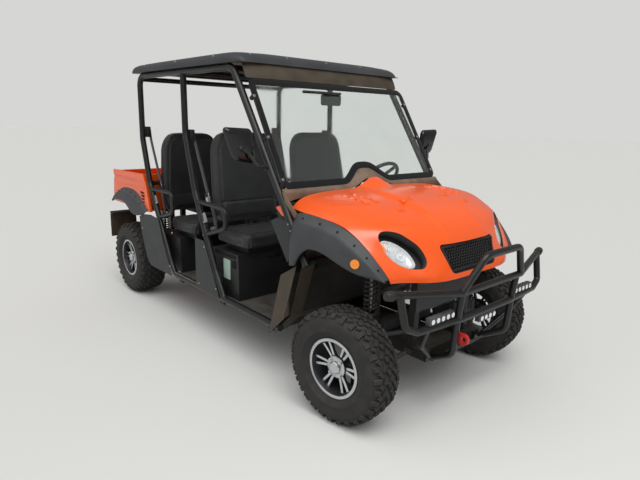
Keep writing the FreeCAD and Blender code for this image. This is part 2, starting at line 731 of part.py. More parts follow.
def make_flares():
    pair("front_flares", made("front_flare", flare_shape(FRONT_FLARE, 16)))
    side = size("bed_half")
    rear = [(x, -side - a, z, u, -side - b, w) for x, a, z, u, b, w in REAR_FLARE]
    pair("rear_flares", made("rear_flare", flare_shape(rear, 14)))
    near, far = FRONT_FLARE[7], FRONT_FLARE[8]
    corner, along = Vector(*near[3:]), Vector(*far[3:]) - Vector(*near[3:])
    rise = Vector(near[0] - near[3], 0, near[2] - near[5])
    out = along.cross(rise).normalize()
    if out.y > 0:
        out = out * -1
    centre = corner + along * 0.5 + rise * 0.35 + out * size("seat_gap")
    flare = flare_shape(FRONT_FLARE, 16)
    lamp = made("side_lamp", Part.makeCylinder(24, 7, centre, out).cut(flare))
    pair("side_lamps", lamp)


def make_splash_guards():
    plate_y = "cage_y + cage_tube + seat_gap"
    flange = side_panel("splash_flange", [(828, 705), (968, 788), (862, 447), (711, 300)],
                        "panel_wall", plate_y)
    wall = strip([(711, 300), (862, 447), (968, 788)], size("panel_wall"))
    wall = side_panel("splash_wall", wall, "91.7", "576")
    roof = strip([(968, 788), (985, 860), (1045, 935), (1150, 958), (1300, 930), (1400, 873)],
                 size("panel_wall"))
    roof = side_panel("splash_roof", roof, "85", "570")
    back = strip([(964, 780), (968, 788), (985, 860)], size("panel_wall"))
    back = side_panel("splash_back", back, "97", "570")
    guard = fused("front_splash_guard", [wall, roof, back])
    tube_back = -1765 - 16 - size("seat_gap") - 6
    flap = doc.addObject("Part::Box", "mud_flap")
    flap.Placement = Placement(Vector(tube_back, -745, 450), Rotation())
    bind(flap, "Length", "6")
    bind(flap, "Width", "245")
    bind(flap, "Height", "240")
    pair("splash_guards", guard, flange, flap)


# Dash and side panels

def dash_outline(grow=0):
    """Side view of the dash; its rear face steps back by the given amount."""
    top = size("dash_top")
    return [(870, top), (740 - grow, top + grow, 30), (660 - grow, 1060, 20),
            (690 - grow, 900, 20), (870, 860)]


def make_dash():
    node("dash", side_panel("dash", dash_outline(), "dash_half * 2", "-dash_half"))
    outside = "cage_y + cage_tube + seat_gap"
    inside = "cage_y - cage_tube - seat_gap - panel_wall"
    kick = side_panel("kick_panel", [(663, 992), (727, 1020), (880, 1012), (930, 925), (827, 769)],
                      "panel_wall", inside)
    quarter = side_panel("quarter_panel", [
        (-1170, 734), (-1105, 763), (-941, 782), (-799, 770), (-719, 582), (-640, 440),
        (-590, 345), (-976, 344), (-1052, 400, 60), (-1134, 590, 80)], "panel_wall", outside)
    plate = side_panel("side_plate", [(-190, 366), (-190, 732), (-62, 732), (132, 366)],
                       "panel_wall", outside)
    pair("side_panels", kick, quarter, plate)


# Front bumper

def make_bumper():
    radius, post = size("bumper_tube"), size("bumper_post_y")
    rail, rail_y = size("rail_z"), size("rail_y")
    face = size("front_axle_x") + 250 + size("seat_gap")
    end = face + 22
    bar = [(1642, -712, 804), (1753, -285, 760), (1753, 285, 760), (1642, 712, 804)]
    hoop = [(1753, -290, 760), (1795, -165, 943), (1795, 165, 943), (1753, 290, 760)]
    loop = [(1660, -655, 796), (1690, -640, 640), (1702, -560, 606), (1730, -230, 606),
            (1730, 230, 606), (1702, 560, 606), (1690, 640, 640), (1660, 655, 796)]
    shapes = [tube_shape(path, radius, bend) for path, bend in ((bar, 60), (hoop, 60), (loop, 34))]
    for hand in (-1, 1):
        leg = [(1742, post, 760), (1724, post, 600), (1712, post, 410), (end, rail_y + 4, rail + 30)]
        strut = [(1706, 480, 606), (1640, 440, 480), (end, rail_y + 4, rail + 30)]
        for path, thick in ((leg, radius), (strut, 14)):
            shapes.append(tube_shape([(x, hand * y, z) for x, y, z in path], thick, 60))
        shapes.append(Part.makeSphere(radius + 3, Vector(1642, hand * 712, 804)))
        corner = Vector(face, hand * rail_y - size("rail_side") / 2, rail)
        shapes.append(Part.makeBox(10, size("rail_side"), size("rail_side"), corner))
    node("front_bumper", made("front_bumper", fused_shape(shapes)))
    level = 606 + radius + size("seat_gap")
    lights = []
    for name, y, width, z in (("right", -496, 203, level), ("left", 293, 203, level),
                              ("middle", -80, 160, 606 - radius - size("seat_gap") - 38)):
        lights.append(block("work_light_" + name, ("0", "0", "0"), ("36", str(width), "38")))
        lights[-1].Placement = Placement(Vector(1696 if name != "middle" else 1712, y, z), Rotation())
        lights[-1].setExpression("Placement", None)
        for axis in "xyz":
            lights[-1].setExpression("Placement.Base." + axis, None)
    node("work_lights", group("work_lights", lights))


def make_tow_points():
    inner = "bumper_post_y - bumper_tube - seat_gap - tow_wall"
    hook = side_panel("tow_hook", [(1700, 470, 8), (1784, 470, 28), (1784, 530, 28), (1700, 530, 8)],
                      "tow_wall", inner, [(1757, 500, size("tow_bore"))])
    plate = [(-1815, -60, 20), (-1510, -90), (-1510, 90), (-1815, 60, 20)]
    hitch = panel("hitch_plate", "XY_Plane", [plate], "hitch_wall", "rail_z - seat_gap - hitch_wall",
                  [(-1785, 0, size("hitch_bore"))])
    node("tow_plates", group("tow_plates", [hook, hitch]))


# Wheels

def tyre_shape(width):
    """A round-shouldered tyre about Y, with blocks fused on both shoulders."""
    outer, depth = size("tyre_radius"), size("lug_depth")
    bead, half = size("rim_radius"), width / 2
    tread = outer - depth
    profile = [(bead, -half + 30), (bead + 80, -half), (tread, -half + 36),
               (tread, half - 36), (bead + 80, half), (bead, half - 30)]
    ring = Part.makePolygon([Vector(r, y, 0) for r, y in profile + profile[:1]])
    carcass = Part.Face(ring).revolve(Vector(0, 0, 0), Vector(0, 1, 0), 360)
    count = int(size("lug_count"))
    lugs = []
    for index in range(count):
        for hand in (-1, 1):
            turn = 360.0 / count * (index + (0.5 if hand > 0 else 0))
            lugs.append(lug_shape(hand, half, tread, outer, turn))
    return carcass.multiFuse(lugs)


def lug_shape(hand, half, tread, outer, turn):
    """One tread block that runs from the middle over the shoulder."""
    long = size("lug_length")
    side = [(8, tread - 8), (8, outer), (half - 24, outer), (half - 2, outer - 38),
            (half - 26, tread - 34)]
    points = [Vector(-long / 2, hand * y, r) for y, r in side + side[:1]]
    lug = Part.Face(Part.makePolygon(points)).extrude(Vector(long, 0, 0))
    lug.rotate(Vector(0, 0, 0), Vector(0, 1, 0), turn)
    return lug


def spoke_shape(face_y, angle, start, end):
    wide = size("spoke_width")
    profile = [Vector(start, face_y - 30, 0), Vector(start, face_y + 2, 0),
               Vector(end, face_y + 14, 0), Vector(end, face_y - 16, 0)]
    spoke = Part.Face(Part.makePolygon(profile + profile[:1])).extrude(Vector(0, 0, wide))
    spoke.translate(Vector(0, 0, -wide / 2))
    spoke.rotate(Vector(0, 0, 0), Vector(0, 1, 0), angle)
    return spoke


def rim_shape(width, hand):
    """A cast wheel: barrel with lips, six pairs of spokes and a hub with a blind bore."""
    bead, lip, hub, wall = size("rim_radius"), size("rim_lip"), size("hub_radius"), size("rim_wall")
    half = width / 2 - 20
    bed = bead - size("seat_gap")
    barrel = [(bead - wall, -half), (bead + lip, -half), (bead + lip, -half + 5), (bed, -half + 5),
              (bed, half - 5), (bead + lip, half - 5), (bead + lip, half), (bead - wall, half)]
    ring = Part.makePolygon([Vector(r, y, 0) for r, y in barrel + barrel[:1]])
    shape = Part.Face(ring).revolve(Vector(0, 0, 0), Vector(0, 1, 0), 360)
    face_y = half - 40
    pieces = []
    for index in range(6):
        for side in (-11, 11):
            pieces.append(spoke_shape(face_y, index * 60 + side, hub - 8, bead - wall + 3))
    depth = size("hub_depth")
    pieces.append(Part.makeCylinder(hub, depth, Vector(0, face_y + 10 - depth, 0), Vector(0, 1, 0)))
    pieces.append(Part.makeCylinder(30, 16, Vector(0, face_y + 9, 0), Vector(0, 1, 0)))
    shape = shape.multiFuse(pieces)
    bore = Part.makeCylinder(size("spindle_radius") + size("seat_gap"), depth - 10,
                             Vector(0, face_y + 9 - depth, 0), Vector(0, 1, 0))
    shape = shape.cut(bore)
    return shape if hand > 0 else shape.mirror(Vector(0, 0, 0), Vector(0, 1, 0))


def stub_end(width):
    """Distance from the middle of a tyre to the end of the stub inside its hub."""
    return width / 2 - 20 - 40 - 12


def steer_place(y):
    """Turn about the kingpin on one side."""
    pin = Vector(size("front_axle_x"), y, 0)
    turn = Rotation(Vector(0, 0, 1), size("steer_rest"))
    return Placement(pin, turn) * Placement(-pin, Rotation())


def make_wheels():
    axle = size("front_axle_x")
    table = [
        # name, x, y of the tyre, tyre width, side
        ("front_right", axle, -size("front_wheel_y"), size("front_tyre_width"), -1),
        ("front_left", axle, size("front_wheel_y"), size("front_tyre_width"), 1),
        ("rear_right", axle - size("wheelbase"), -size("rear_wheel_y"), size("rear_tyre_width"), -1),
        ("rear_left", axle - size("wheelbase"), size("rear_wheel_y"), size("rear_tyre_width"), 1),
    ]
    tyres = {}
    for name, x, y, width, hand in table:
        place = Placement(Vector(x, y, size("tyre_radius")), Rotation())
        if name.startswith("front"):
            place = steer_place(hand * size("kingpin_y")) * place
        if width not in tyres:
            tyres[width] = tyre_shape(width)
        tyre = node("tyre_" + name, made("tyre_" + name, tyres[width]))
        tyre.Placement = place
        rim = node("rim_" + name, made("rim_" + name, rim_shape(width, hand)))
        rim.Placement = place


# Steering

def make_knuckle(name, hand):
    axle, y, z = size("front_axle_x"), hand * size("kingpin_y"), size("tyre_radius")
    tall, arm, level = size("upright_height"), size("steer_arm"), size("steer_level")
    upright = Part.makeBox(50, 44, tall, Vector(axle - 25, y - 22, z - tall / 2))
    start = y + hand * 10
    reach = size("front_wheel_y") + stub_end(size("front_tyre_width")) - abs(start)
    spindle = Part.makeCylinder(size("spindle_radius"), reach, Vector(axle, start, z),
                                Vector(0, hand, 0))
    lever = Part.makeBox(arm, 26, 12, Vector(axle - arm, y - 13, z + level))
    eye = Part.makeCylinder(17, 12, Vector(axle - arm, y, z + level))
    shape = fused_shape([upright, spindle, lever, eye])
    knuckle = node("knuckle_" + name, made("knuckle_" + name, shape))
    knuckle.Placement = steer_place(y)


def make_steering():
    make_knuckle("right", -1)
    make_knuckle("left", 1)
    axle, y, z = size("front_axle_x"), size("kingpin_y"), size("tyre_radius")
    turn = math.radians(size("steer_rest"))
    gap = size("seat_gap")
    level = z + size("steer_level") + 12 + gap
    back = axle - size("steer_arm") * math.cos(turn)
    shift = -size("steer_arm") * math.sin(turn)
    ends = [Part.makeCylinder(14, 16, Vector(back, hand * y + shift, level)) for hand in (-1, 1)]
    bar = bar_y(7, back, level + 8, shift - y, shift + y)
    node("tie_rods", made("tie_rods", fused_shape([bar] + ends)))
    low = size("rail_z") + size("rail_side") + gap
    half = size("rail_y") - size("rail_side") / 2 + 13
    house = Part.makeBox(60, 2 * half, 2 * (level + 8 - low), Vector(back - 30, -half, low))
    bore = bar_y(7 + gap, back, level + 8, -half - 10, half + 10)
    node("rack_housing", made("rack_housing", house.cut(bore)))


def column_axis():
    lean = math.radians(size("column_lean"))
    return Vector(-math.cos(lean), 0, math.sin(lean))


def make_steering_wheel():
    centre = Vector(size("wheel_x"), size("seat_y"), size("wheel_z"))
    axis = column_axis()
    rim = Part.makeTorus(size("wheel_rim_radius"), 14, centre, axis)
    rim.rotate(centre, axis, 40)
    hub = Part.makeCylinder(48, 40, centre - axis * 30, axis)
    spokes = []
    for degrees in (0, 180, 270):
        turn = Rotation(axis, degrees)
        spokes.append(Part.makeCylinder(9, size("wheel_rim_radius") - 4, centre,
                                        turn.multVec(Vector(0, 1, 0))))
    node("steering_wheel", made("steering_wheel", fused_shape([rim, hub] + spokes)))
    foot = centre - axis * (30 + size("seat_gap"))
    column = Part.makeCylinder(24, 240, foot - axis * 240, axis)
    outline = [Part.LineSegment(Vector(x, 0, z), Vector(u, 0, w)).toShape() for (x, z), (u, w) in
               zip([p[:2] for p in dash_outline(0.3)],
                   [p[:2] for p in dash_outline(0.3)[1:] + dash_outline(0.3)[:1]])]
    dash = Part.Face(Part.Wire(outline)).extrude(Vector(0, 900, 0))
    node("steering_column", made("steering_column", column.cut(dash)))


# Suspension

def arm_shape(axle, ball_y, ball_z, bush_z, spreads):
    """A right-hand arm: tubes from the ball to the bushes on the frame."""
    bush_y = -size("rail_y") - size("rail_side") / 2 - size("bush_radius") - size("seat_gap")
    shapes = []
    for spread in spreads:
        shapes.append(tube_shape([(axle, ball_y, ball_z), (axle + spread, bush_y, bush_z)],
                                 size("arm_tube"), 1))
        shapes.append(Part.makeCylinder(size("bush_radius"), 40,
                                        Vector(axle + spread - 20, bush_y, bush_z), Vector(1, 0, 0)))
    return shapes


def make_suspension():
    axle, z, spread = size("front_axle_x"), size("tyre_radius"), size("arm_spread")
    pin, half = -size("kingpin_y"), size("upright_height") / 2 + size("seat_gap")
    rail_middle = size("rail_z") + size("rail_side") / 2
    balls = [Part.makeCylinder(18, 52, Vector(axle, pin, z - half - 52)),
             Part.makeCylinder(18, 28, Vector(axle, pin, z + half))]
    lower = arm_shape(axle, pin, z - half - 38, rail_middle, (-spread, spread))
    plate_z = 243
    plate = Part.makeBox(130, 50, 14, Vector(axle - 65, -475, plate_z))
    lower = fused_shape(lower + [balls[0], plate])
    upper = fused_shape(arm_shape(axle, pin, z + half + 14, 450, (-spread, spread)) + [balls[1]])
    front = made("front_arm_pair", Part.makeCompound([lower, upper]))
    top = size("front_box_z") - size("post_side") - size("seat_gap")
    front_shock = shock_shape(axle, -450, plate_z + 14 + size("seat_gap"), top)
    rear = axle - size("wheelbase")
    carrier_y = -size("carrier_y")
    shapes = arm_shape(rear, carrier_y, z - 96, rail_middle, (-116, 116))
    shapes += arm_shape(rear, carrier_y, z + 96, 450, (-116,))
    shapes.append(Part.makeBox(60, 40, 230, Vector(rear - 30, carrier_y - 20, z - 115)))
    stub = size("rear_wheel_y") + stub_end(size("rear_tyre_width")) + carrier_y
    shapes.append(Part.makeCylinder(size("spindle_radius"), stub, Vector(rear, carrier_y, z),
                                    Vector(0, -1, 0)))
    motor_side = size("rail_y") - size("rail_side") / 2 + 16
    shapes.append(bar_y(14, rear, z, carrier_y, -motor_side))
    shapes.append(Part.makeBox(76, 50, 30, Vector(rear + 22, -425, 265)))
    pair("suspension_arms", front, made("rear_arm", fused_shape(shapes)))
    top = size("bed_floor_z") - size("post_side") - 2 * size("seat_gap")
    rear_shock = shock_shape(rear + 65, -400, 265 + 30 + size("seat_gap"), top)
    pair("shock_absorbers", made("front_shock", front_shock), made("rear_shock", rear_shock))


def shock_shape(x, y, low, high):
    """An upright damper: body, rod and a coil that stands for the spring's outside."""
    coil_top = high - 24
    coil_low = low + (high - low) * 0.55
    up = Vector(0, 0, 1)
    body = Part.makeCylinder(22, coil_low + 20 - low, Vector(x, y, low), up)
    rod_shape = Part.makeCylinder(10, high - low - 40, Vector(x, y, low + 40), up)
    coil = Part.makeCylinder(size("coil_radius"), coil_top - coil_low, Vector(x, y, coil_low), up)
    return fused_shape([body, rod_shape, coil])


def make_power_blocks():
    level = "rail_z + rail_side + seat_gap + floor_wall + seat_gap"
    node("battery_block", block("battery_block", ("-50", "-560", level), ("270", "1120", "220")))
    half = "rail_y - rail_side / 2 + 16 - seat_gap"
    rear = "front_axle_x - wheelbase"
    node("motor_block", block("motor_block", (rear + " - 80", "-(" + half + ")", "262"),
                              ("160", "(" + half + ") * 2", "240")))


# Seats

def back_table():
    """Foot, lean and carrying bar of the seat backs, one row of seats after the other."""
    thick, bar = size("back_thick"), size("cross_tube") + size("seat_gap")
    rows = []
    for row, foot_x, foot_z, bar_z in (
            ("front", size("front_row_x") - 303, size("front_cushion_z") + 127, 900),
            ("rear", size("front_row_x") - size("row_pitch") - 433, size("rear_cushion_z") + 112, 1037)):
        lean = math.radians(size(row + "_back_lean"))
        bar_x = foot_x - (bar_z - foot_z) * math.tan(lean) - (thick + bar) / math.cos(lean)
        rows.append({"row": row, "foot_x": foot_x, "foot_z": foot_z, "lean": row + "_back_lean",
                     "bar_x": bar_x, "bar_z": bar_z})
    return rows


def make_seat_box(row, outline, wall_outline):
    outer = side_panel(row + "_box_outside", outline, "1270", "-635")
    inner = side_panel(row + "_box_inside", wall_outline, "1270 - box_wall * 2", "-635 + box_wall")
    return cut(row + "_box", outer, inner)


def make_seats():
    floor = size("rail_z") + size("rail_side") + size("floor_wall") + 2 * size("seat_gap")
    wall = size("box_wall")
    cushions, backs, boxes = [], [], []
    pitch = size("row_pitch")
    rows = [
        # row, front edge of the cushion, cushion underside, box front, box rear, box top
        ("front", size("front_row_x"), "front_cushion_z", 262, -78, size("front_box_top")),
        ("rear", size("front_row_x") - pitch, "rear_cushion_z", -578, -949.7, size("rear_box_top")),
    ]
    for row, front, level, box_front, box_rear, top in rows:
        outline = [(box_rear, floor), (box_rear, top), (box_front - 10, top), (box_front, floor)]
        hollow = [(box_rear + wall, floor - 1), (box_rear + wall, top - wall),
                  (box_front - 10 - wall, top - wall), (box_front - wall, floor - 1)]
        shell = make_seat_box(row, outline, hollow)
        stands = []
        for hand in (-1, 1):
            stand = block("%s_stand_%d" % (row, hand + 1), ("0", "0", "0"), ("270", "400", "1"))
            for axis in "xyz":
                stand.setExpression("Placement.Base." + axis, None)
            stand.Placement = Placement(Vector(front - 340, hand * size("seat_y") - 200, top - 1),
                                        Rotation())
            bind(stand, "Height", "%s - seat_gap - %s_box_top + 1" % (level, row))
            stands.append(stand)
        boxes.append(fused(row + "_seat_box", [shell] + stands))
        half, y, deep = size("seat_half"), -size("seat_y"), size("cushion_depth")
        plan = [(front, y - half + 8, 70), (front, y + half - 8, 70), (front - deep, y + half, 50),
                (front - deep, y - half, 50)]
        cushions.append(panel(row + "_cushion", "XY_Plane", [plan], "cushion_height", level))
    for row in back_table():
        backs.append(make_back(row))
    node("seat_boxes", group("seat_boxes", boxes))
    pair("seat_cushions", *cushions)
    pair("seat_backs", *backs)


def make_back(row):
    half, tall, y = size("seat_half"), size("back_height"), -size("seat_y")
    outline = [(y - half + 24, 0, 50), (y + half - 24, 0, 50), (y + half, tall * 0.3, 200),
               (y + half - 30, tall * 0.86, 90), (y + half - 90, tall, 60), (y - half + 90, tall, 60),
               (y - half + 30, tall * 0.86, 90), (y - half, tall * 0.3, 200)]
    body = panel(row["row"] + "_back", "YZ_Plane", [outline], "back_thick", "-back_thick")
    body.Placement = Placement(Vector(row["foot_x"], 0, row["foot_z"]),
                               Rotation(Vector(0, 1, 0), -size(row["lean"])))
    return body


def make_belts():
    """Webbing that hangs from a retractor on the inner side of a pillar."""
    reach = size("belt_width") / 2
    inside = size("cage_y") - size("cage_tube") - size("seat_gap")
    table = [
        # row, webbing path (x, z) from the top down, retractor corner (x, z)
        ("front", [(-362, 1480), (-322, 1410), (-150, 1040), (-64, 900), (-50, 800)], (-372, 1400)),
        ("rear", [(-1102, 1480), (-1072, 1380), (-920, 1050), (-890, 900), (-862, 790)], (-1118, 1400)),
    ]
    belts = []
    for row, path, corner in table:
        shifted = [(x - reach, z) for x, z in path]
        strap = side_panel(row + "_strap", strip(shifted[::-1], -2 * reach), "3", "622")
        case = Part.makeBox(62, inside - 623, 90, Vector(corner[0], -inside, corner[1]))
        anchor = Part.makeBox(40, inside - 623, 30, Vector(path[-1][0] - 20, -inside, path[-1][1]))
        tongue = Part.makeBox(52, 14, 70, Vector(path[2][0] - 26, -636, path[2][1] - 60))
        parts = [strap] + [made(row + "_belt_" + name, shape) for name, shape in
                           (("case", case), ("anchor", anchor), ("tongue", tongue))]
        belts.append(fused(row + "_belt", parts))
    pair("seat_belts", *belts)


# Bed

def make_bed():
    low, rear_x, half = size("bed_floor_z"), size("bed_rear_x"), "bed_half - bed_wall"
    front = size("bed_front_x")
    floor = block("bed_floor", ("bed_rear_x", "-bed_half", "bed_floor_z"),
                  ("bed_front_x - bed_rear_x", "bed_half * 2", "bed_wall"))
    head = block("bed_head", ("bed_front_x - bed_wall", "-bed_half", "bed_floor_z"),
                 ("bed_wall", "bed_half * 2", "bed_height"))
    pivot = (size("gate_hinge_x"), size("gate_hinge_z"), size("gate_pin") + size("seat_gap"))
    rear_low, rear_high = (-1745, low), (-1700, low + 285)
    side_outline = [rear_low, rear_high, (front, low + 300), (-958, low + 11), (-958, low)]
    side = side_panel("bed_side", side_outline, "bed_wall", half, [pivot])
    cap = side_panel("bed_side_cap", [(-1706, low + 247), (-1700, low + 285), (front, low + 300),
                                      (front + 20, low + 250)], "10", "bed_half - 1")
    x, z, y = size("bed_hinge_x"), size("bed_hinge_z"), size("rail_y") + size("rail_side") / 2 + 3
    lug = doc.addObject("PartDesign::Body", "bed_lug")
    feature = lug.newObject("PartDesign::Pad", "bed_lug_pad")
    outline = [(x - 22, low + 1), (x - 22, z - 22, 21.9), (x + 22, z - 22, 21.9), (x + 22, low + 1)]
    feature.Profile = sketch_on(lug, "bed_lug_sketch", "XZ_Plane", [outline], str(y),
                                [(x, z, size("bed_pin") + size("seat_gap"))])
    feature.Length = 28
    sides = both_sides(side, cap, lug)
    node("bed_tub", fused("bed_tub", [floor, head] + sides))
    lamp_outline = [(x - 0.3, z) for x, z in edge_points(rear_low, rear_high, 60, 210)]
    lamp_outline += [(x - 12, z) for x, z in reversed(lamp_outline)]
    pair("tail_lamps", side_panel("tail_lamp", lamp_outline, "20", "bed_half - 21"))
    gate = [(-1741, 806), (-1707, 806), (-1662, 1082), (-1696, 1082)]
    plate = side_panel("gate_plate", gate, "(bed_half - bed_wall - gate_gap) * 2",
                       "-(bed_half - bed_wall - gate_gap)")
    pins = [rod("gate_pin_%d" % (hand + 1),
                Vector(pivot[0], hand * (size("bed_half") - size("bed_wall") - 16), pivot[1]),
                Vector(0, hand, 0), "gate_pin", "30") for hand in (-1, 1)]
    node("tailgate", fused("tailgate", [plate] + pins))


def edge_points(low, high, start, end):
    """Two points on a slanted edge at heights above its lower end."""
    slope = (high[0] - low[0]) / (high[1] - low[1])
    return [(low[0] + slope * rise, low[1] + rise) for rise in (start, end)]


# Mirrors

def make_mirrors():
    head = panel("mirror_head", "YZ_Plane", [[(-980, 1536, 30), (-760, 1526, 30),
                 (-740, 1317, 20), (-890, 1344, 30)]], "36", "600")
    outside = -size("cage_y") - size("cage_tube") - size("seat_gap")
    post = pillar_x(1310)
    arm = made("mirror_arm", tube_shape([(622, -850, 1400), (640, -800, 1380), (post, -770, 1310),
                                         (post, outside, 1310)], 9, 20))
    top = size("cage_top")
    low, high = top - 210, top - 132
    cabin = panel("cabin_mirror_head", "YZ_Plane", [[(-92, low, 14), (92, low, 14),
                  (92, high, 14), (-92, high, 14)]], "18", "420")
    bar_z = size("cage_top") - 8 - size("cross_tube") - size("seat_gap")
    stalk = made("cabin_mirror_stalk", tube_shape([(430, 0, top - 143), (400, 0, top - 103),
                                                   (296, 0, top - 78),
                                                   (296, 0, bar_z)], 7, 20))
    sides = both_sides(fused("side_mirror", [head, arm]))
    node("mirrors", group("mirrors", sides + [fused("cabin_mirror", [cabin, stalk])]))


make_frame()
make_floor()
make_cage()
make_roof()
make_windscreen()
make_cowl()
make_hood()
make_grille()
make_nose()
make_headlamps()
make_flares()
make_splash_guards()
make_dash()
make_bumper()
make_tow_points()
make_wheels()
make_steering()
make_steering_wheel()
make_suspension()
make_power_blocks()
make_seats()
make_belts()
make_bed()
make_mirrors()

doc.recompute()


def check_document():
    for obj in doc.Objects:
        if "Invalid" in obj.State or "Error" in obj.State:
            raise RuntimeError("%s did not compute: %s" % (obj.Label, obj.State))
    for label, obj in NODES.items():
        if obj.Shape.isNull() or not obj.Shape.isValid() or not obj.Shape.Solids:
            raise RuntimeError("%s has no sound solid" % label)


def write_nodes():
    os.makedirs("parts", exist_ok=True)
    for label, obj in NODES.items():
        obj.Shape.exportStep("parts/%s.step" % label)


check_document()
write_nodes()
box = FreeCAD.BoundBox()
for item in NODES.values():
    box.add(item.Shape.BoundBox)
print(len(NODES), "pieces", [round(value, 1) for value in
      (box.XMin, box.XMax, box.YMin, box.YMax, box.ZMin, box.ZMax)])
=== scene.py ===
import json
import math

import bmesh
import bpy
from bpy.props import FloatProperty, FloatVectorProperty, IntProperty, PointerProperty
from mathutils import Matrix, Vector, kdtree


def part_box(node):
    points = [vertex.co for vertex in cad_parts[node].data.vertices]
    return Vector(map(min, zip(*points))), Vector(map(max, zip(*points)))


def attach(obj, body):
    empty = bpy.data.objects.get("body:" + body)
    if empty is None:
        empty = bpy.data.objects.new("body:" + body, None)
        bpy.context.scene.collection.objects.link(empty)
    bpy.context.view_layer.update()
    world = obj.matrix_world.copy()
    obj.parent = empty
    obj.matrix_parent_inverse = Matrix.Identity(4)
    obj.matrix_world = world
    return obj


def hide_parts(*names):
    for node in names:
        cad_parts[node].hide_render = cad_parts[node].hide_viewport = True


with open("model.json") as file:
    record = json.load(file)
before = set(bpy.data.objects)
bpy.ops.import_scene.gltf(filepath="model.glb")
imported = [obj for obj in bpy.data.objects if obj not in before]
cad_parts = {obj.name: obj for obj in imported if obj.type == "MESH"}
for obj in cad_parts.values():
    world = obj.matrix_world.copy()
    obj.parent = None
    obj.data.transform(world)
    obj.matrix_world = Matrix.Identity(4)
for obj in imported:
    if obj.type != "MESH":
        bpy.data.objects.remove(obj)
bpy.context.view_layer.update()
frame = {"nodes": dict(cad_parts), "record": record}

bl_info = {
    "name": "Side by side utility vehicle",
    "version": (1, 0, 0),
    "blender": (4, 5, 0),
    "location": "View3D > Sidebar > Vehicle",
    "description": "Dresses the packed frame of a two-row utility vehicle with an open cage",
    "category": "Object",
}

# Everything is in metres, X forwards, Y to the left, Z up. MM turns millimetres into metres.
MM = 0.001
CORNERS = ("front_right", "front_left", "rear_right", "rear_left")


# Edges of an outline that are longer than this are cut into short ones.
LONG_EDGE = 0.012


def linear(code):
    """Turns an sRGB hex colour into the linear colour that a shader takes."""
    values = [int(code[i:i + 2], 16) / 255 for i in (0, 2, 4)]
    return [v / 12.92 if v <= 0.04045 else ((v + 0.055) / 1.055) ** 2.4 for v in values]


def colour_property(name, description, code):
    """A colour setting whose default is an sRGB hex colour."""
    return FloatVectorProperty(name=name, description=description, subtype="COLOR",
                               min=0, max=1, default=linear(code))


def length_property(name, description, millimetres):
    """A length setting whose default is in millimetres."""
    return FloatProperty(name=name, description=description, unit="LENGTH",
                         default=millimetres * MM, min=0)


# Settings

class TyreSettings(bpy.types.PropertyGroup):
    pitches: IntProperty(name="Pitches", description="Rows of tread blocks round a tyre",
                         default=30, min=8)
    block_depth: length_property("Block depth", "Height of a tread block above the casing", 13)


class PaintSettings(bpy.types.PropertyGroup):
    body: colour_property("Body", "Gloss paint of the hood and the bed", "F2580A")
    trim: colour_property("Trim", "Grained plastic of the flares", "33363A")
    roof: colour_property("Roof", "Grained plastic of the roof", "303338")
    vinyl: colour_property("Seats", "Vinyl of the seats", "1A1B1E")


class StageSettings(bpy.types.PropertyGroup):
    floor: colour_property("Floor", "Colour of the floor and the background", "D9D9D7")
    focal: FloatProperty(name="Focal length", description="Lens for a 36 mm wide sensor",
                         unit="CAMERA", default=29.105)
    yaw: FloatProperty(name="Yaw", description="Where the camera looks, from forwards",
                       subtype="ANGLE", default=math.radians(138.378))
    pitch: FloatProperty(name="Pitch", description="How far the camera looks up",
                         subtype="ANGLE", default=math.radians(-13.162))
    roll: FloatProperty(name="Roll", description="How far the camera leans to its left",
                        subtype="ANGLE", default=math.radians(1.525))
    place: FloatVectorProperty(name="Camera", description="Where the camera stands",
                               subtype="XYZ", unit="LENGTH", default=(3.107, -2.445, 1.584))
    sky: FloatProperty(name="Sky", description="Strength of the sky's light", default=0.6,
                       min=0)
    shine: FloatProperty(name="Shine", description="Strength of the sky in reflections",
                         default=0.45, min=0)
    backdrop: FloatProperty(name="Backdrop", description="Strength of the sky where it is seen",
                            default=0.97, min=0)


class VehicleSettings(bpy.types.PropertyGroup):
    tyre: PointerProperty(type=TyreSettings)
    paint: PointerProperty(type=PaintSettings)
    stage: PointerProperty(type=StageSettings)


# Materials

def add_node(material, kind, inputs=(), **settings):
    """Adds a node with its settings; an input is a value or the socket it takes one from."""
    tree = material.node_tree
    node = tree.nodes.new(kind)
    for name, value in settings.items():
        setattr(node, name, value)
    for name, value in dict(inputs).items():
        if isinstance(value, bpy.types.NodeSocket):
            tree.links.new(value, node.inputs[name])
        else:
            node.inputs[name].default_value = value
    return node


def spread(material, socket, low, high):
    """Spreads the middle of a noise over a range."""
    return add_node(material, "ShaderNodeMapRange",
                    {"Value": socket, "From Min": 0.3, "From Max": 0.7,
                     "To Min": low, "To Max": high}).outputs["Result"]


def blended(material, factor, first, second):
    """Mixes two colours."""
    mix = add_node(material, "ShaderNodeMix", {0: factor}, data_type="RGBA")
    for index, value in ((6, first), (7, second)):
        if isinstance(value, bpy.types.NodeSocket):
            material.node_tree.links.new(value, mix.inputs[index])
        else:
            mix.inputs[index].default_value = (*value, 1)
    return mix.outputs[2]


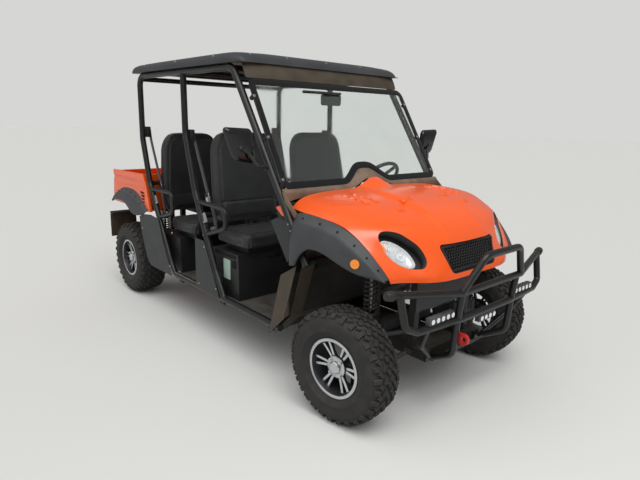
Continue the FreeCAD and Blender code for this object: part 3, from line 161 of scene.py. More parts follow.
def make_finish(name, colour, rough, metal=0.0, grain=0.0, depth=0.0, vary=0.15, patch=90.0,
                dust=0.0, sockets=()):
    """A surface whose colour and gloss vary in patches, with a fine grain and settled dust.

    Grain, depth and patch are real sizes in millimetres: the spacing of the grain, its height,
    and the size of the patches in which the colour changes.
    """
    material = bpy.data.materials.new(name)
    material.use_nodes = True
    shader = material.node_tree.nodes["Principled BSDF"]
    shader.inputs["Metallic"].default_value = metal
    for socket, value in dict(sockets).items():
        shader.inputs[socket].default_value = value
    place = add_node(material, "ShaderNodeTexCoord").outputs["Object"]
    patches = add_node(material, "ShaderNodeTexNoise",
                       {"Vector": place, "Scale": 1000 / patch, "Detail": 4.0}).outputs["Fac"]
    dark = [v * (1 - vary) for v in colour]
    light = [min(1, v * (1 + vary) + 0.01 * vary) for v in colour]
    tint = blended(material, spread(material, patches, 0, 1), dark, light)
    links = material.node_tree.links
    if dust:
        # Dust settles on faces that look up, in uneven patches.
        up = add_node(material, "ShaderNodeSeparateXYZ", {
            0: add_node(material, "ShaderNodeNewGeometry").outputs["Normal"]}).outputs["Z"]
        cover = add_node(material, "ShaderNodeMapRange", {
            "Value": up, "From Min": -0.4, "From Max": 1.0, "To Min": 0.15 * dust,
            "To Max": dust}).outputs["Result"]
        cover = add_node(material, "ShaderNodeMath", {
            0: cover, 1: spread(material, patches, 0.4, 1.1)}, operation="MULTIPLY").outputs[0]
        tint = blended(material, cover, tint, linear("8A8275"))
    links.new(tint, shader.inputs["Base Color"])
    links.new(spread(material, patches, max(0, rough - 0.06), min(1, rough + 0.06)),
              shader.inputs["Roughness"])
    if grain:
        fine = add_node(material, "ShaderNodeTexNoise", {
            "Vector": place, "Scale": 1000 / grain, "Detail": 2.0}).outputs["Fac"]
        bump = add_node(material, "ShaderNodeBump", {
            "Height": fine, "Distance": depth * MM, "Strength": 1.0})
        links.new(bump.outputs["Normal"], shader.inputs["Normal"])
    return material


# What make_finish takes for each finish; a colour is a hex code or the name of a paint setting
LOOKS = {
    # Paint over moulded plastic: even colour, mirror-like clear coat, a little road dust.
    "orange_paint": ("body", 0.32, {"vary": 0.05, "patch": 400, "dust": 0.03,
                                    "sockets": {"Coat Weight": 0.35, "Coat Roughness": 0.08}}),
    # Polypropylene moulded against a grained tool: dull, with pits about 1.5 mm apart.
    "trim_plastic": ("trim", 0.58, {"grain": 1.6, "depth": 0.35, "dust": 0.12}),
    "roof_plastic": ("roof", 0.46, {"grain": 2.2, "depth": 0.3, "dust": 0.04, "patch": 260}),
    "black_plastic": ("17181A", 0.5, {"grain": 1.4, "depth": 0.3, "dust": 0.03}),
    # The same plastic under a film of dried road dust, as below the windscreen.
    "dusty_plastic": ("6A5442", 0.6, {"grain": 1.6, "depth": 0.35, "vary": 0.3, "dust": 0.25}),
    # The roof's plastic seen from below, browned by dust.
    "roof_lining": ("40372A", 0.62, {"grain": 2.2, "depth": 0.3, "vary": 0.25}),
    # Moulded side panels: blue-black, with a fine grain.
    "side_plastic": ("1C2024", 0.5, {"grain": 1.6, "depth": 0.35, "dust": 0.06}),
    # Floor pan: coarse grain against slipping, dusty all over.
    "floor_plastic": ("1D1D1D", 0.7, {"grain": 3.0, "depth": 0.6, "dust": 0.3}),
    # Powder coat: an orange-peel skin about 1 mm fine, satin black.
    "cage_coat": ("0D0E10", 0.38, {"grain": 1.1, "depth": 0.2, "dust": 0.012}),
    "frame_coat": ("141415", 0.55, {"grain": 1.5, "depth": 0.3, "dust": 0.14}),
    "red_coat": ("B3201C", 0.4, {"grain": 1.2, "depth": 0.2}),
    # Screen-printed enamel on the glass: smooth and near black.
    "screen_enamel": ("0E0F11", 0.18, {"vary": 0.1}),
    # Clear glass, faintly tinted and wiped unevenly.
    "screen_glass": ("F4FAF8", 0.02, {"vary": 0.02, "patch": 220,
                                      "sockets": {"Transmission Weight": 1.0, "IOR": 1.45}}),
    # Thin clear plastic: a fifth of it is seen, so light passes straight through the rest.
    "lamp_glass": ("E8EEF2", 0.04, {"vary": 0.02,
                                    "sockets": {"Alpha": 0.2, "Coat Weight": 1.0}}),
    # Vinyl over foam: leather print about 2 mm wide, satin, with a trace of sheen.
    "seat_vinyl": ("vinyl", 0.46, {"grain": 2.0, "depth": 0.35, "vary": 0.2, "dust": 0.06,
                                   "sockets": {"Sheen Weight": 0.08}}),
    # Extruded vinyl cord along the seams: smooth, a shade lighter than the seat.
    "seat_piping": ("2B2C2E", 0.5, {"vary": 0.1}),
    # Woven polyester: dull dark red-brown, its ribs about 2 mm apart, with a soft sheen.
    "webbing": ("2E2427", 0.8, {"grain": 1.8, "depth": 0.5, "sockets": {"Sheen Weight": 0.3}}),
    # Tyre rubber: matte, greyed by dust in the grooves.
    "tyre_rubber": ("171718", 0.78, {"grain": 4.0, "depth": 0.5, "vary": 0.3, "patch": 50,
                                     "dust": 0.12}),
    # Cast wheel: turned bright faces over dark painted pockets.
    "bright_alloy": ("C9CBCD", 0.3, {"metal": 1.0, "grain": 0.8, "depth": 0.04, "vary": 0.08}),
    # Satin paint over the same casting: grey and uneven in the pockets.
    "dark_alloy": ("3A3C3F", 0.45, {"metal": 0.6, "vary": 0.2}),
    # Sand-cast iron and aluminium: coarse skin, greyed.
    "cast_metal": ("55565A", 0.6, {"metal": 0.6, "grain": 2.5, "depth": 0.5, "dust": 0.2}),
    # Zinc-plated steel: bright, cold grey, faintly blotched.
    "zinc_steel": ("A9ABAB", 0.34, {"metal": 1.0, "grain": 3.0, "depth": 0.05, "vary": 0.15}),
    # Powder coat over spring wire: black and dusty.
    "spring_coat": ("202124", 0.4, {"grain": 2.0, "depth": 0.2, "dust": 0.15}),
    # Moulded case of the closed-in battery: plain dark grey.
    "battery_case": ("2A2B2D", 0.5, {"grain": 1.5, "depth": 0.2}),
    # Moulded clear-coated acrylic, amber or red: even, deep colour under a sharp gloss.
    "amber_lens": ("F08A12", 0.15, {"vary": 0.1, "patch": 20, "sockets": {"Coat Weight": 1.0}}),
    "red_lens": ("A90E0E", 0.15, {"vary": 0.1, "patch": 20, "sockets": {"Coat Weight": 1.0}}),
    # Moulded black with a polished tool: smooth and glossy.
    "gloss_black": ("101113", 0.22, {"vary": 0.1}),
    # Blank printed plate: a flat green-grey film.
    "label_plate": ("9DB3A6", 0.35, {"vary": 0.05}),
    # Painted shade in hollows behind openings: a dull colour almost without light, standing in for
    # their shadow.
    "deep_black": ("060606", 0.95, {"vary": 0.1}),
    # Vapour-coated reflector: partly a bright mirror, partly a near-white matte colour that paints
    # the brightness of its reflections.
    "reflector": ("F4F5F6", 0.24, {"metal": 0.45, "vary": 0.03}),
    # Silvered glass: sharp, slightly cool reflections.
    "mirror_glass": ("D5DADF", 0.04, {"metal": 1.0, "vary": 0.02}),
}
# The finishes made, by name
FINISHES = {}


def make_finishes(paint):
    """Every finish of the vehicle, by the plain name of what it is."""
    for name, (colour, rough, extra) in LOOKS.items():
        colour = list(getattr(paint, colour)) if hasattr(paint, colour) else linear(colour)
        FINISHES[name] = make_finish(name, colour, rough, **extra)


# Finish of each CAD node that stays in view
NODE_FINISH = {
    "chassis_frame": "frame_coat", "floor_pan": "floor_plastic", "skid_plate": "floor_plastic",
    "cage_sides": "cage_coat", "cage_cross_bars": "cage_coat", "roof": "roof_plastic",
    "windscreen_border": "screen_enamel", "windscreen_glass": "screen_glass",
    "wiper": "black_plastic", "hood": "orange_paint", "nose_panel": "trim_plastic",
    "grille": "black_plastic", "cowl": "trim_plastic", "front_flares": "trim_plastic",
    "rear_flares": "trim_plastic", "splash_guards": "roof_lining", "headlamps": "lamp_glass",
    "side_lamps": "amber_lens", "dash": "black_plastic", "side_panels": "side_plastic",
    "front_bumper": "cage_coat", "work_lights": "cast_metal", "tow_plates": "red_coat",
    "knuckle_right": "cast_metal", "knuckle_left": "cast_metal", "tie_rods": "zinc_steel",
    "rack_housing": "cast_metal", "steering_wheel": "black_plastic",
    "steering_column": "frame_coat", "suspension_arms": "frame_coat",
    "shock_absorbers": "spring_coat", "battery_block": "battery_case",
    "motor_block": "cast_metal", "seat_boxes": "black_plastic", "seat_cushions": "seat_vinyl",
    "seat_backs": "seat_vinyl", "seat_belts": "webbing", "bed_tub": "orange_paint",
    "tailgate": "orange_paint", "tail_lamps": "red_lens", "mirrors": "black_plastic",
}


def dress_nodes():
    """Gives every CAD node its finish."""
    for name, node in frame["nodes"].items():
        finish = FINISHES[NODE_FINISH.get(name, "tyre_rubber" if "tyre" in name else "dark_alloy")]
        if not node.material_slots:
            node.data.materials.append(finish)
        for slot in node.material_slots:
            slot.material = finish


# Mesh helpers

def link_new(name, data):
    """Makes an object of its data and links it to the scene."""
    made = bpy.data.objects.new(name, data)
    bpy.context.scene.collection.objects.link(made)
    return made


def to_data(name, mesh):
    """Mesh data made of a bmesh, which is freed."""
    data = bpy.data.meshes.new(name)
    mesh.to_mesh(data)
    mesh.free()
    return data


def moved(x, y, z):
    """A move in millimetres."""
    return Matrix.Translation((x * MM, y * MM, z * MM))


def turned(degrees, axis):
    """A turn about an axis."""
    return Matrix.Rotation(math.radians(degrees), 4, axis)


def aimed(vector, axis="Z"):
    """A turn whose axis points along a vector."""
    return Vector(vector).to_track_quat(axis, "Y").to_matrix().to_4x4()


def set_material(verts, material):
    """Gives the faces at some points their material."""
    for face in {face for vert in verts for face in vert.link_faces}:
        face.material_index = material


def mend_normals(mesh):
    """Turns the normals of closed forms outwards."""
    bmesh.ops.recalc_face_normals(mesh, faces=mesh.faces[:])


def face_out(mesh, aim=(0, 0, 1)):
    """Turns the normals of an open skin to one side."""
    mend_normals(mesh)
    if sum((face.normal for face in mesh.faces), Vector()).dot(Vector(aim)) < 0:
        bmesh.ops.reverse_faces(mesh, faces=mesh.faces[:])


def shift_fresh(mesh, made, vector):
    """Moves the points that an operator has just made by millimetres, and gives them."""
    verts = [item for item in made if isinstance(item, bmesh.types.BMVert)]
    bmesh.ops.translate(mesh, vec=Vector(vector) * MM, verts=verts)
    return verts


def add_piece(name, mesh, finishes, sharp=35, replaces=(), body="chassis"):
    """Makes a finished piece of a bmesh: its place is in its mesh, and it rides on a body."""
    data = to_data(name, mesh)
    for finish in finishes:
        data.materials.append(FINISHES[finish])
    data.shade_smooth()
    data.set_sharp_from_angle(angle=math.radians(sharp))
    piece = link_new(name, data)
    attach(piece, body)
    if replaces:
        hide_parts(*replaces)
    return piece


def add_wall(piece, wall, offset=-1):
    """Gives a skin its wall in millimetres, inwards or about its middle."""
    shell = piece.modifiers.new("shell", "SOLIDIFY")
    shell.thickness, shell.offset = wall * MM, offset
    return shell


def moulding(name, mesh, finishes, levels, wall, sharp, replaces=(), body="chassis"):
    """A piece made of an open skin, subdivided and given its wall; a last finish lines it."""
    piece = add_piece(name, mesh, finishes, sharp, replaces, body)
    rounder = piece.modifiers.new("rounder", "SUBSURF")
    rounder.levels = rounder.render_levels = levels
    add_wall(piece, wall).material_offset = len(finishes) - 1
    settle(piece, sharp)
    return piece


def crease_border(mesh, amount):
    """Keeps the border of a skin sharp when it is subdivided, and gives the crease layer."""
    crease = mesh.edges.layers.float.new("crease_edge")
    for edge in mesh.edges:
        if edge.is_boundary:
            edge[crease] = amount
    return crease


def spin_profile(mesh, profile, steps):
    """Turns a closed profile of (radius, distance along Y) points about the Y axis."""
    ring = [mesh.verts.new((0, y * MM, r * MM)) for r, y in profile]
    edges = [mesh.edges.new((a, b)) for a, b in zip(ring, ring[1:] + ring[:1])]
    done = set(mesh.faces)
    bmesh.ops.spin(mesh, geom=ring + edges, axis=(0, 1, 0), cent=(0, 0, 0), dvec=(0, 0, 0),
                   angle=math.tau, steps=steps, use_merge=True, use_duplicate=False)
    fresh = [face for face in mesh.faces if face not in done]
    bmesh.ops.remove_doubles(mesh, verts=mesh.verts[:], dist=1e-6)
    return [face for face in fresh if face.is_valid]


def add_block(mesh, size, place, taper=1.0, material=0):
    """A box, its size in millimetres, whose upper end is drawn in by the taper."""
    size = Matrix.Diagonal((*Vector(size) * MM, 1))
    made = bmesh.ops.create_cube(mesh, size=1, matrix=size)["verts"]
    for vert in made:
        if vert.co.z > 0:
            vert.co.x *= taper
            vert.co.y *= taper
    bmesh.ops.transform(mesh, matrix=place, verts=made)
    set_material(made, material)


def round_edges(mesh, offset, segments=2, angle=50):
    """Bevels the edges that are sharper than the angle."""
    edges = [edge for edge in mesh.edges
             if len(edge.link_faces) == 2 and edge.calc_face_angle(0) > math.radians(angle)]
    bmesh.ops.bevel(mesh, geom=edges, offset=offset * MM, affect="EDGES", segments=segments,
                    profile=0.5, material=-1, clamp_overlap=True)


def outline_face(mesh, points, corner, place, segments=5):
    """A flat face with rounded corners, drawn in millimetres and put in its plane."""
    verts = [mesh.verts.new((x * MM, y * MM, 0)) for x, y in points]
    face = mesh.faces.new(verts)
    if corner:
        done = bmesh.ops.bevel(mesh, geom=verts, offset=corner * MM, affect="VERTICES",
                               segments=segments, profile=0.5, material=-1, clamp_overlap=True)
        verts = list({vert for vert in done["verts"] if vert.is_valid})
        face = next(face for vert in verts for face in vert.link_faces)
        verts = list(face.verts)
    bmesh.ops.transform(mesh, matrix=place, verts=verts)
    return face


def thicken(mesh, face, vector):
    """Extrudes a face along a vector in millimetres and gives the far face."""
    far = bmesh.ops.extrude_face_region(mesh, geom=[face], use_keep_orig=True)["geom"]
    shift_fresh(mesh, far, vector)
    return next(item for item in far if isinstance(item, bmesh.types.BMFace))


def add_plate(mesh, points, corner, place, segments, vector):
    """A flat outline drawn in its plane and thickened, and its far face."""
    return thicken(mesh, outline_face(mesh, points, corner, place, segments), vector)


def inset(mesh, face, amount):
    """Insets a face by millimetres, also where it stands alone."""
    bmesh.ops.inset_region(mesh, faces=[face], thickness=amount * MM, use_boundary=True,
                           use_even_offset=True)


def dome(mesh, face, steps):
    """Draws a face in step by step; each step is a margin and a rise in millimetres."""
    for amount, rise in steps:
        normal = face.normal.copy()
        base = face
        far = bmesh.ops.extrude_face_region(mesh, geom=[face])["geom"]
        face = next(item for item in far if isinstance(item, bmesh.types.BMFace))
        if base.is_valid:
            bmesh.ops.delete(mesh, geom=[base], context="FACES_ONLY")
        middle = face.calc_center_median()
        reach = sum((vert.co - middle).length for vert in face.verts) / len(face.verts)
        bmesh.ops.scale(mesh, vec=[1 - amount * MM / reach] * 3, verts=face.verts[:],
                        space=Matrix.Translation(-middle))
        bmesh.ops.translate(mesh, vec=normal * rise * MM, verts=face.verts[:])
    return face


def skin(mesh, rows):
    """A grid whose rows of points, in millimetres, follow the sections of a moulding."""
    made = bmesh.ops.create_grid(mesh, x_segments=len(rows[0]) - 1, y_segments=len(rows) - 1,
                                 size=1)["verts"]
    points = [point for row in rows for point in row]
    for vert, point in zip(made, points):
        vert.co = Vector(point) * MM


def mirror_left(mesh):
    """Copies the right-hand half of a mesh to the left."""
    geom = mesh.verts[:] + mesh.edges[:] + mesh.faces[:]
    bmesh.ops.mirror(mesh, geom=geom, matrix=Matrix.Identity(4), merge_dist=0, axis="Y")
    mend_normals(mesh)


def side_place(y):
    """Plane of a side view: drawn X is forwards and drawn Y is up, on the right-hand side."""
    return moved(0, -y, 0) @ turned(90, "X")


def plane(origin, across, up):
    """Plane drawn along two directions from an origin in millimetres."""
    turn = Matrix((across, up, Vector(across).cross(up))).transposed()
    return moved(*origin) @ turn.to_4x4()


def facing(x):
    """Plane across the vehicle at an X in millimetres: drawn X is to the left, drawn Y is up."""
    return plane((x, 0, 0), (0, 1, 0), (0, 0, 1))


def normal_of(place):
    """Direction that a plane looks in."""
    return place.to_3x3() @ Vector((0, 0, 1))


def settle(piece, sharp=35):
    """Applies the piece's modifiers."""
    graph = bpy.context.evaluated_depsgraph_get()
    data = bpy.data.meshes.new_from_object(piece.evaluated_get(graph))
    piece.modifiers.clear()
    piece.data = data
    data.shade_smooth()
    data.set_sharp_from_angle(angle=math.radians(sharp))


def cut_away(piece, cutter):
    """Cuts a closed mesh out of a piece."""
    tool = link_new("cutter", to_data("cutter", cutter))
    window = piece.modifiers.new("window", "BOOLEAN")
    window.operation, window.object, window.solver = "DIFFERENCE", tool, "EXACT"
    settle(piece, 40)
    bpy.data.objects.remove(tool)


def add_round(mesh, place, radius, length, far_radius=None, sides=28, material=0):
    """A round bar or cup centred on a place, along its Z, in millimetres."""
    made = bmesh.ops.create_cone(mesh, cap_ends=True, segments=sides, radius1=radius * MM,
                                 radius2=(far_radius or radius) * MM, depth=length * MM,
                                 matrix=place)["verts"]
    set_material(made, material)


def add_bolt(mesh, place, radius=7, depth=5, sides=12):
    """A low domed fastener head whose axis is the place's Z."""
    add_round(mesh, place, radius, depth, radius * 0.6, sides)


def on_surface(piece, start, aim):
    """Place on a piece's surface, its Z outwards, where a ray from a point in mm meets it."""
    hit, spot, normal, _ = piece.ray_cast(Vector(start) * MM, Vector(aim))
    if not hit:
        raise RuntimeError("nothing of %s is met from %s" % (piece.name, start))
    return Matrix.Translation(spot) @ aimed(normal)


def tube_along(mesh, points, radius, sides=8, closed=False, material=0):
    """A round tube through points in millimetres, by a curve with a bevel."""
    curve = bpy.data.curves.new("tube", "CURVE")
    curve.dimensions, curve.bevel_depth = "3D", radius * MM
    curve.bevel_resolution, curve.use_fill_caps = max(0, sides // 4 - 1), True
    spline = curve.splines.new("POLY")
    spline.points.add(len(points) - 1)
    for knot, point in zip(spline.points, points):
        knot.co = (*(Vector(point) * MM), 1)
    spline.use_cyclic_u = closed
    holder = link_new("tube", curve)
    data = bpy.data.meshes.new_from_object(holder.evaluated_get(
        bpy.context.evaluated_depsgraph_get()))
    first = len(mesh.faces)
    mesh.from_mesh(data)
    mesh.faces.ensure_lookup_table()
    for face in mesh.faces[first:]:
        face.material_index = material
        face.smooth = True
    bpy.data.objects.remove(holder)
    bpy.data.curves.remove(curve)
    bpy.data.meshes.remove(data)


# Seats

# Distance of a seat's middle from the vehicle's middle
SEAT_Y = 352
# Outlines in millimetres: the cushion from above (forwards, across), the back from the front
CUSHION = [(-4, -256), (-4, 256), (-394, 266), (-394, -266)]
BACK = [(-246, 4), (246, 4), (270, 195), (243, 556), (184, 648), (-184, 648), (-243, 556),
        (-270, 195)]
# Seat forms: foot of the piece (x, z) and its lean backwards in degrees
CUSHION_SEATS = [{"x": 318, "z": 726, "lean": 0}, {"x": -405, "z": 690, "lean": 0}]
BACK_SEATS = [{"x": 15, "z": 853, "lean": 10}, {"x": -838, "z": 802, "lean": 3}]


# Pads in millimetres: thickness, radius of the corners, and depth and width of a seam
PAD_DEPTH, PAD_CORNER, SEAM_DEPTH, SEAM_WIDTH = 88, 52, 5, 7
# Cloth simulation of a pad: spacing of its skin's points in metres, steps, pressure, and the
# farthest that a point may swell in millimetres
PAD_SKIN, PAD_STEPS, PAD_PRESSURE, PAD_SWELL = 0.0065, 20, 4.0, 9


def soft_form(name, outline, place):
    """Closed form of a pad before it is stuffed, remeshed to an even skin."""
    mesh = bmesh.new()
    add_plate(mesh, outline, PAD_CORNER, place, 8, normal_of(place) * PAD_DEPTH)
    mend_normals(mesh)
    round_edges(mesh, 20, 4, 60)
    form = link_new(name, to_data(name, mesh))
    voxels = form.modifiers.new("voxels", "REMESH")
    voxels.mode, voxels.voxel_size = "VOXEL", PAD_SKIN
    settle(form, 180)
    return form


def stuff(form, board):
    """Swells a form by cloth simulation; points on its board stay."""
    scene = bpy.context.scene
    points = form.data.vertices
    held = form.vertex_groups.new(name="board")
    held.add([point.index for point in points if board(point.co)], 1.0, "REPLACE")
    cloth = form.modifiers.new("filling", "CLOTH")
    cloth.settings.vertex_group_mass = "board"
    cloth.settings.use_pressure = True
    cloth.settings.uniform_pressure_force = PAD_PRESSURE
    cloth.settings.effector_weights.gravity = 0
    cloth.settings.tension_stiffness = cloth.settings.compression_stiffness = 20
    cloth.point_cache.frame_start, cloth.point_cache.frame_end = 1, PAD_STEPS
    for count in range(1, PAD_STEPS + 1):
        scene.frame_set(count)
    swollen = form.evaluated_get(bpy.context.evaluated_depsgraph_get()).to_mesh()
    moved = [vert.co.copy() for vert in swollen.vertices]
    form.modifiers.remove(cloth)
    scene.frame_set(1)
    for point, end in zip(points, moved):
        step = end - point.co
        if step.length > PAD_SWELL * MM:
            step = step.normalized() * PAD_SWELL * MM
        point.co = point.co + step


def sew(form, path):
    """Pulls the skin in along a path of points on it, as a row of stitches does."""
    tree = kdtree.KDTree(len(path))
    for index, point in enumerate(path):
        tree.insert(point, index)
    tree.balance()
    for point in form.data.vertices:
        gap = tree.find(point.co)[2] / (SEAM_WIDTH * MM)
        if gap < 3:
            point.co = point.co - point.normal * SEAM_DEPTH * MM * math.exp(-gap * gap)


def skin_path(form, outline, margin, place, lift):
    """Points on a pad where an outline, drawn smaller by a margin, meets its face."""
    mesh = bmesh.new()
    face = outline_face(mesh, outline, PAD_CORNER, place, 8)
    inset(mesh, face, margin)
    edges = [edge for edge in face.edges if edge.calc_length() > LONG_EDGE]
    bmesh.ops.subdivide_edges(mesh, edges=edges, cuts=24)
    out = normal_of(place) * (PAD_DEPTH + lift) * MM
    path = [form.closest_point_on_mesh(loop.vert.co + out)[1] for loop in face.loops]
    mesh.free()
    return path


def seat_pad(name, outline, place, cross, seats, node):
    """A stuffed pad with a sewn border, cross seams and piping, set at its four places."""
    form = soft_form(name + "_form", outline, place)
    normal, start = normal_of(place), place.translation
    stuff(form, lambda co: (co - start).dot(normal) < 0.004)
    sew(form, skin_path(form, outline, 34, place, 12))
    for first, last in cross:
        steps = [place @ (Vector((*first, 0)).lerp(Vector((*last, 0)), i / 60) * MM)
                 for i in range(61)]
        sew(form, [form.closest_point_on_mesh(step + normal * (PAD_DEPTH + 12) * MM)[1]
                   for step in steps])
    piping = skin_path(form, outline, 10, place, 4)
    mesh = bmesh.new()
    for seat in seats:
        turn = moved(seat["x"], -SEAT_Y, seat["z"]) @ turned(-seat["lean"], "Y")
        first = len(mesh.verts)
        mesh.from_mesh(form.data)
        tube_along(mesh, [point / MM for point in piping], 3.2, 8, True, 1)
        mesh.verts.ensure_lookup_table()
        bmesh.ops.transform(mesh, matrix=turn, verts=mesh.verts[first:])
    mirror_left(mesh)
    pad = add_piece(name, mesh, ["seat_vinyl", "seat_piping"], 60, [node])
    bpy.data.objects.remove(form)


def make_seats():
    """Cushions and backs of both rows."""
    seat_pad("seat_cushion_pads", CUSHION, moved(0, 0, 2), [((-300, -240), (-300, 240))],
             CUSHION_SEATS, "seat_cushions")
    # The back is drawn across and up in its own plane, and its face looks forwards.
    seat_pad("seat_back_pads", BACK, facing(-103), [((-236, 150), (236, 150))],
             BACK_SEATS, "seat_backs")


# Windscreen and cowl

# Foot of the windscreen (x, z) in millimetres, its lean backwards in degrees and its height
SCREEN_FOOT, SCREEN_LEAN, SCREEN_TALL = (816.6, 1192), 31.5, 719
# Arch in the windscreen's lower edge: half its width and its rise
ARCH_HALF, ARCH_RISE = 213, 106


def screen_frame():
    """Plane of the windscreen: drawn X is across, drawn Y goes up it and Z looks forwards."""
    lean = math.radians(SCREEN_LEAN)
    return plane((SCREEN_FOOT[0], 0, SCREEN_FOOT[1]), (0, 1, 0),
                 (-math.sin(lean), 0, math.cos(lean)))


def arch_rise(y):
    """Height of the windscreen's lower edge over its foot, at a distance from the middle."""
    share = min(1, max(0, (ARCH_HALF - abs(y)) / (ARCH_HALF - 34)))
    return ARCH_RISE * (0.9 * share * share * (3 - 2 * share)
                        + 0.1 * max(0, 1 - (y / 110) ** 2))


def make_screen():
    """Glass and printed border with a smooth arch, its clamps and their bright screws."""
    place = screen_frame()
    half, count = 697, 36
    low_edge = [(y, arch_rise(y)) for y in
                [ARCH_HALF * (2 * i / count - 1) for i in range(count + 1)]]
    outline = [(-half, 0)] + low_edge + [(half, 0), (half - 10, SCREEN_TALL),
                                         (10 - half, SCREEN_TALL)]
    mesh = bmesh.new()
    face = outline_face(mesh, outline, 0, Matrix.Identity(4))
    corners = [vert for vert in face.verts if abs(vert.co.x) > 0.6]
    bmesh.ops.bevel(mesh, geom=corners, offset=0.055, affect="VERTICES", segments=7,
                    profile=0.5, material=-1)
    face = max(mesh.faces, key=lambda item: item.calc_area())
    inset(mesh, face, 43)
    glass = mesh.copy()
    inner = max(glass.faces, key=lambda item: item.calc_area())
    bmesh.ops.delete(glass, geom=[item for item in glass.faces if item != inner],
                     context="FACES")
    thicken(glass, inner, (0, 0, 4))
    bmesh.ops.transform(glass, matrix=place @ moved(0, 0, 1), verts=glass.verts[:])
    mend_normals(glass)
    add_piece("screen_glass", glass, ["screen_glass"], replaces=["windscreen_glass"])
    bmesh.ops.delete(mesh, geom=[face], context="FACES_ONLY")
    back = bmesh.ops.extrude_face_region(mesh, geom=mesh.faces[:], use_keep_orig=True)["geom"]
    shift_fresh(mesh, back, (0, 0, 6))
    bmesh.ops.transform(mesh, matrix=place, verts=mesh.verts[:])
    mend_normals(mesh)
    round_edges(mesh, 0.8)
    add_piece("screen_border", mesh, ["screen_enamel"], replaces=["windscreen_border"])
    clamps, screws = bmesh.new(), bmesh.new()
    for height in (60, 330, 600):
        add_round(clamps, place @ moved(-680, height, -12), 13, 26, sides=20)
        add_bolt(screws, place @ moved(-676, height, 8.5), 10, 6, 16)
    for drop in (0, 34, 68):
        add_bolt(screws, moved(884 + drop * 0.67, -711, 1010 - drop) @ turned(90, "X"))
    for mesh in (clamps, screws):
        mirror_left(mesh)
    add_piece("screen_clamps", clamps, ["black_plastic"])
    add_piece("screen_screws", screws, ["zinc_steel"])


def make_cowl():
    """Dusty moulding between the windscreen and the hood, raised under the arch, with ears."""
    place = screen_frame()
    rows = []
    half, arch = 702, 214
    for step in range(-24, 25):
        y = half * math.copysign((abs(step) / 24) ** 1.4, step)
        rise = arch_rise(y) / ARCH_RISE
        edge = min(1, max(0, (abs(y) - arch) / (half - arch)))
        rear = (place @ Vector((y * MM, (arch_rise(y) + 7) * MM, -0.003))) / MM
        front = Vector((858 - 20 * rise - 22 * edge, y, 1180 - 4 * edge + 56 * rise))
        bulge = Vector((0, 0, 5))
        lip = front + Vector((3, 0, -8 - 44 * edge * edge))
        rows.append([rear, rear.lerp(front, 0.35) + bulge, rear.lerp(front, 0.75) + bulge, front,
                     lip])
    mesh = bmesh.new()
    skin(mesh, rows)
    face_out(mesh)
    moulding("cowl_moulding", mesh, ["dusty_plastic"], 1, 4, 60, ["cowl"])
    mesh = bmesh.new()
    ear = [(812, 1184), (840, 1172), (902, 1118), (981, 1051), (939, 1045), (842, 1126)]
    add_plate(mesh, ear, 5, side_place(698), 3, (0, -4, 0))
    mend_normals(mesh)
    mirror_left(mesh)
    round_edges(mesh, 1)
    add_piece("cowl_ears", mesh, ["dusty_plastic"])


# Mirrors, belts and bed

def bent_path(points, radius, steps=5):
    """Points of a path in millimetres whose corners are rounded by curves."""
    points = [Vector(point) for point in points]
    path = [points[0]]
    for before, corner, after in zip(points, points[1:], points[2:]):
        start = corner + (before - corner).normalized() * min(radius, (before - corner).length / 2)
        end = corner + (after - corner).normalized() * min(radius, (after - corner).length / 2)
        for step in range(steps + 1):
            share = step / steps
            path.append(start.lerp(corner, share).lerp(corner.lerp(end, share), share))
    return path + [points[-1]]


def add_mirror(shell, glass, outline, corner, segments, place, depth, steps, seat, margin):
    """A domed shell with a pane in its flat face, whose plane is at an X in millimetres."""
    far = add_plate(shell, outline, corner, facing(place), segments, (depth, 0, 0))
    mend_normals(shell)
    dome(shell, far, steps)
    known = set(glass.faces)
    face = outline_face(glass, outline, corner, facing(place - seat), segments)
    inset(glass, face, margin)
    bmesh.ops.delete(glass, geom=[item for item in glass.faces
                                  if item != face and item not in known], context="FACES")
    thicken(glass, face, (-2, 0, 0))


def make_mirrors():
    """Domed shells with their glass, ball joints and bent arms."""
    shell, glass, arm = bmesh.new(), bmesh.new(), bmesh.new()
    outline = [(-958, 1529), (-768, 1521), (-748, 1322), (-885, 1348)]
    add_mirror(shell, glass, outline, 30, 7, 604, 12, [(4, 6), (7, 6), (8, 4), (7, 2)], 0.5, 6)
    tube_along(arm, bent_path([(634, -850, 1410), (646, -806, 1386), (684, -772, 1312),
                               (684, -712, 1310)], 24), 9, 16)
    bmesh.ops.create_uvsphere(arm, u_segments=20, v_segments=12, radius=0.017,
                              matrix=moved(631, -852, 1412))
    add_round(arm, moved(684, -714, 1310) @ turned(90, "X"), 16, 30, sides=24)
    for mesh in (shell, glass, arm):
        mirror_left(mesh)
    cabin = [(-88, 1672), (88, 1672), (90, 1743), (-90, 1743)]
    add_mirror(shell, glass, cabin, 16, 6, 424, 8, [(4, 3), (8, 2)], 1, 5)
    tube_along(arm, bent_path([(434, 0, 1735), (400, 0, 1775), (296, 0, 1800), (296, 0, 1850)],
                              20), 7, 12)
    for mesh in (shell, glass, arm):
        mend_normals(mesh)
    add_piece("mirror_shells", shell, ["gloss_black"], 40, ["mirrors"])
    add_piece("mirror_glasses", glass, ["mirror_glass"], 30)
    add_piece("mirror_arms", arm, ["black_plastic"], 40)


# Belts: webbing path (x, z) from the reel down, and the reel's corner
BELTS = [
    {"path": [(-350, 1470), (-322, 1405), (-150, 1040), (-64, 900), (-50, 805)],
     "reel": (-341, 1445)},
    {"path": [(-1090, 1470), (-1072, 1380), (-920, 1050), (-890, 900), (-862, 800)],
     "reel": (-1087, 1445)},
]


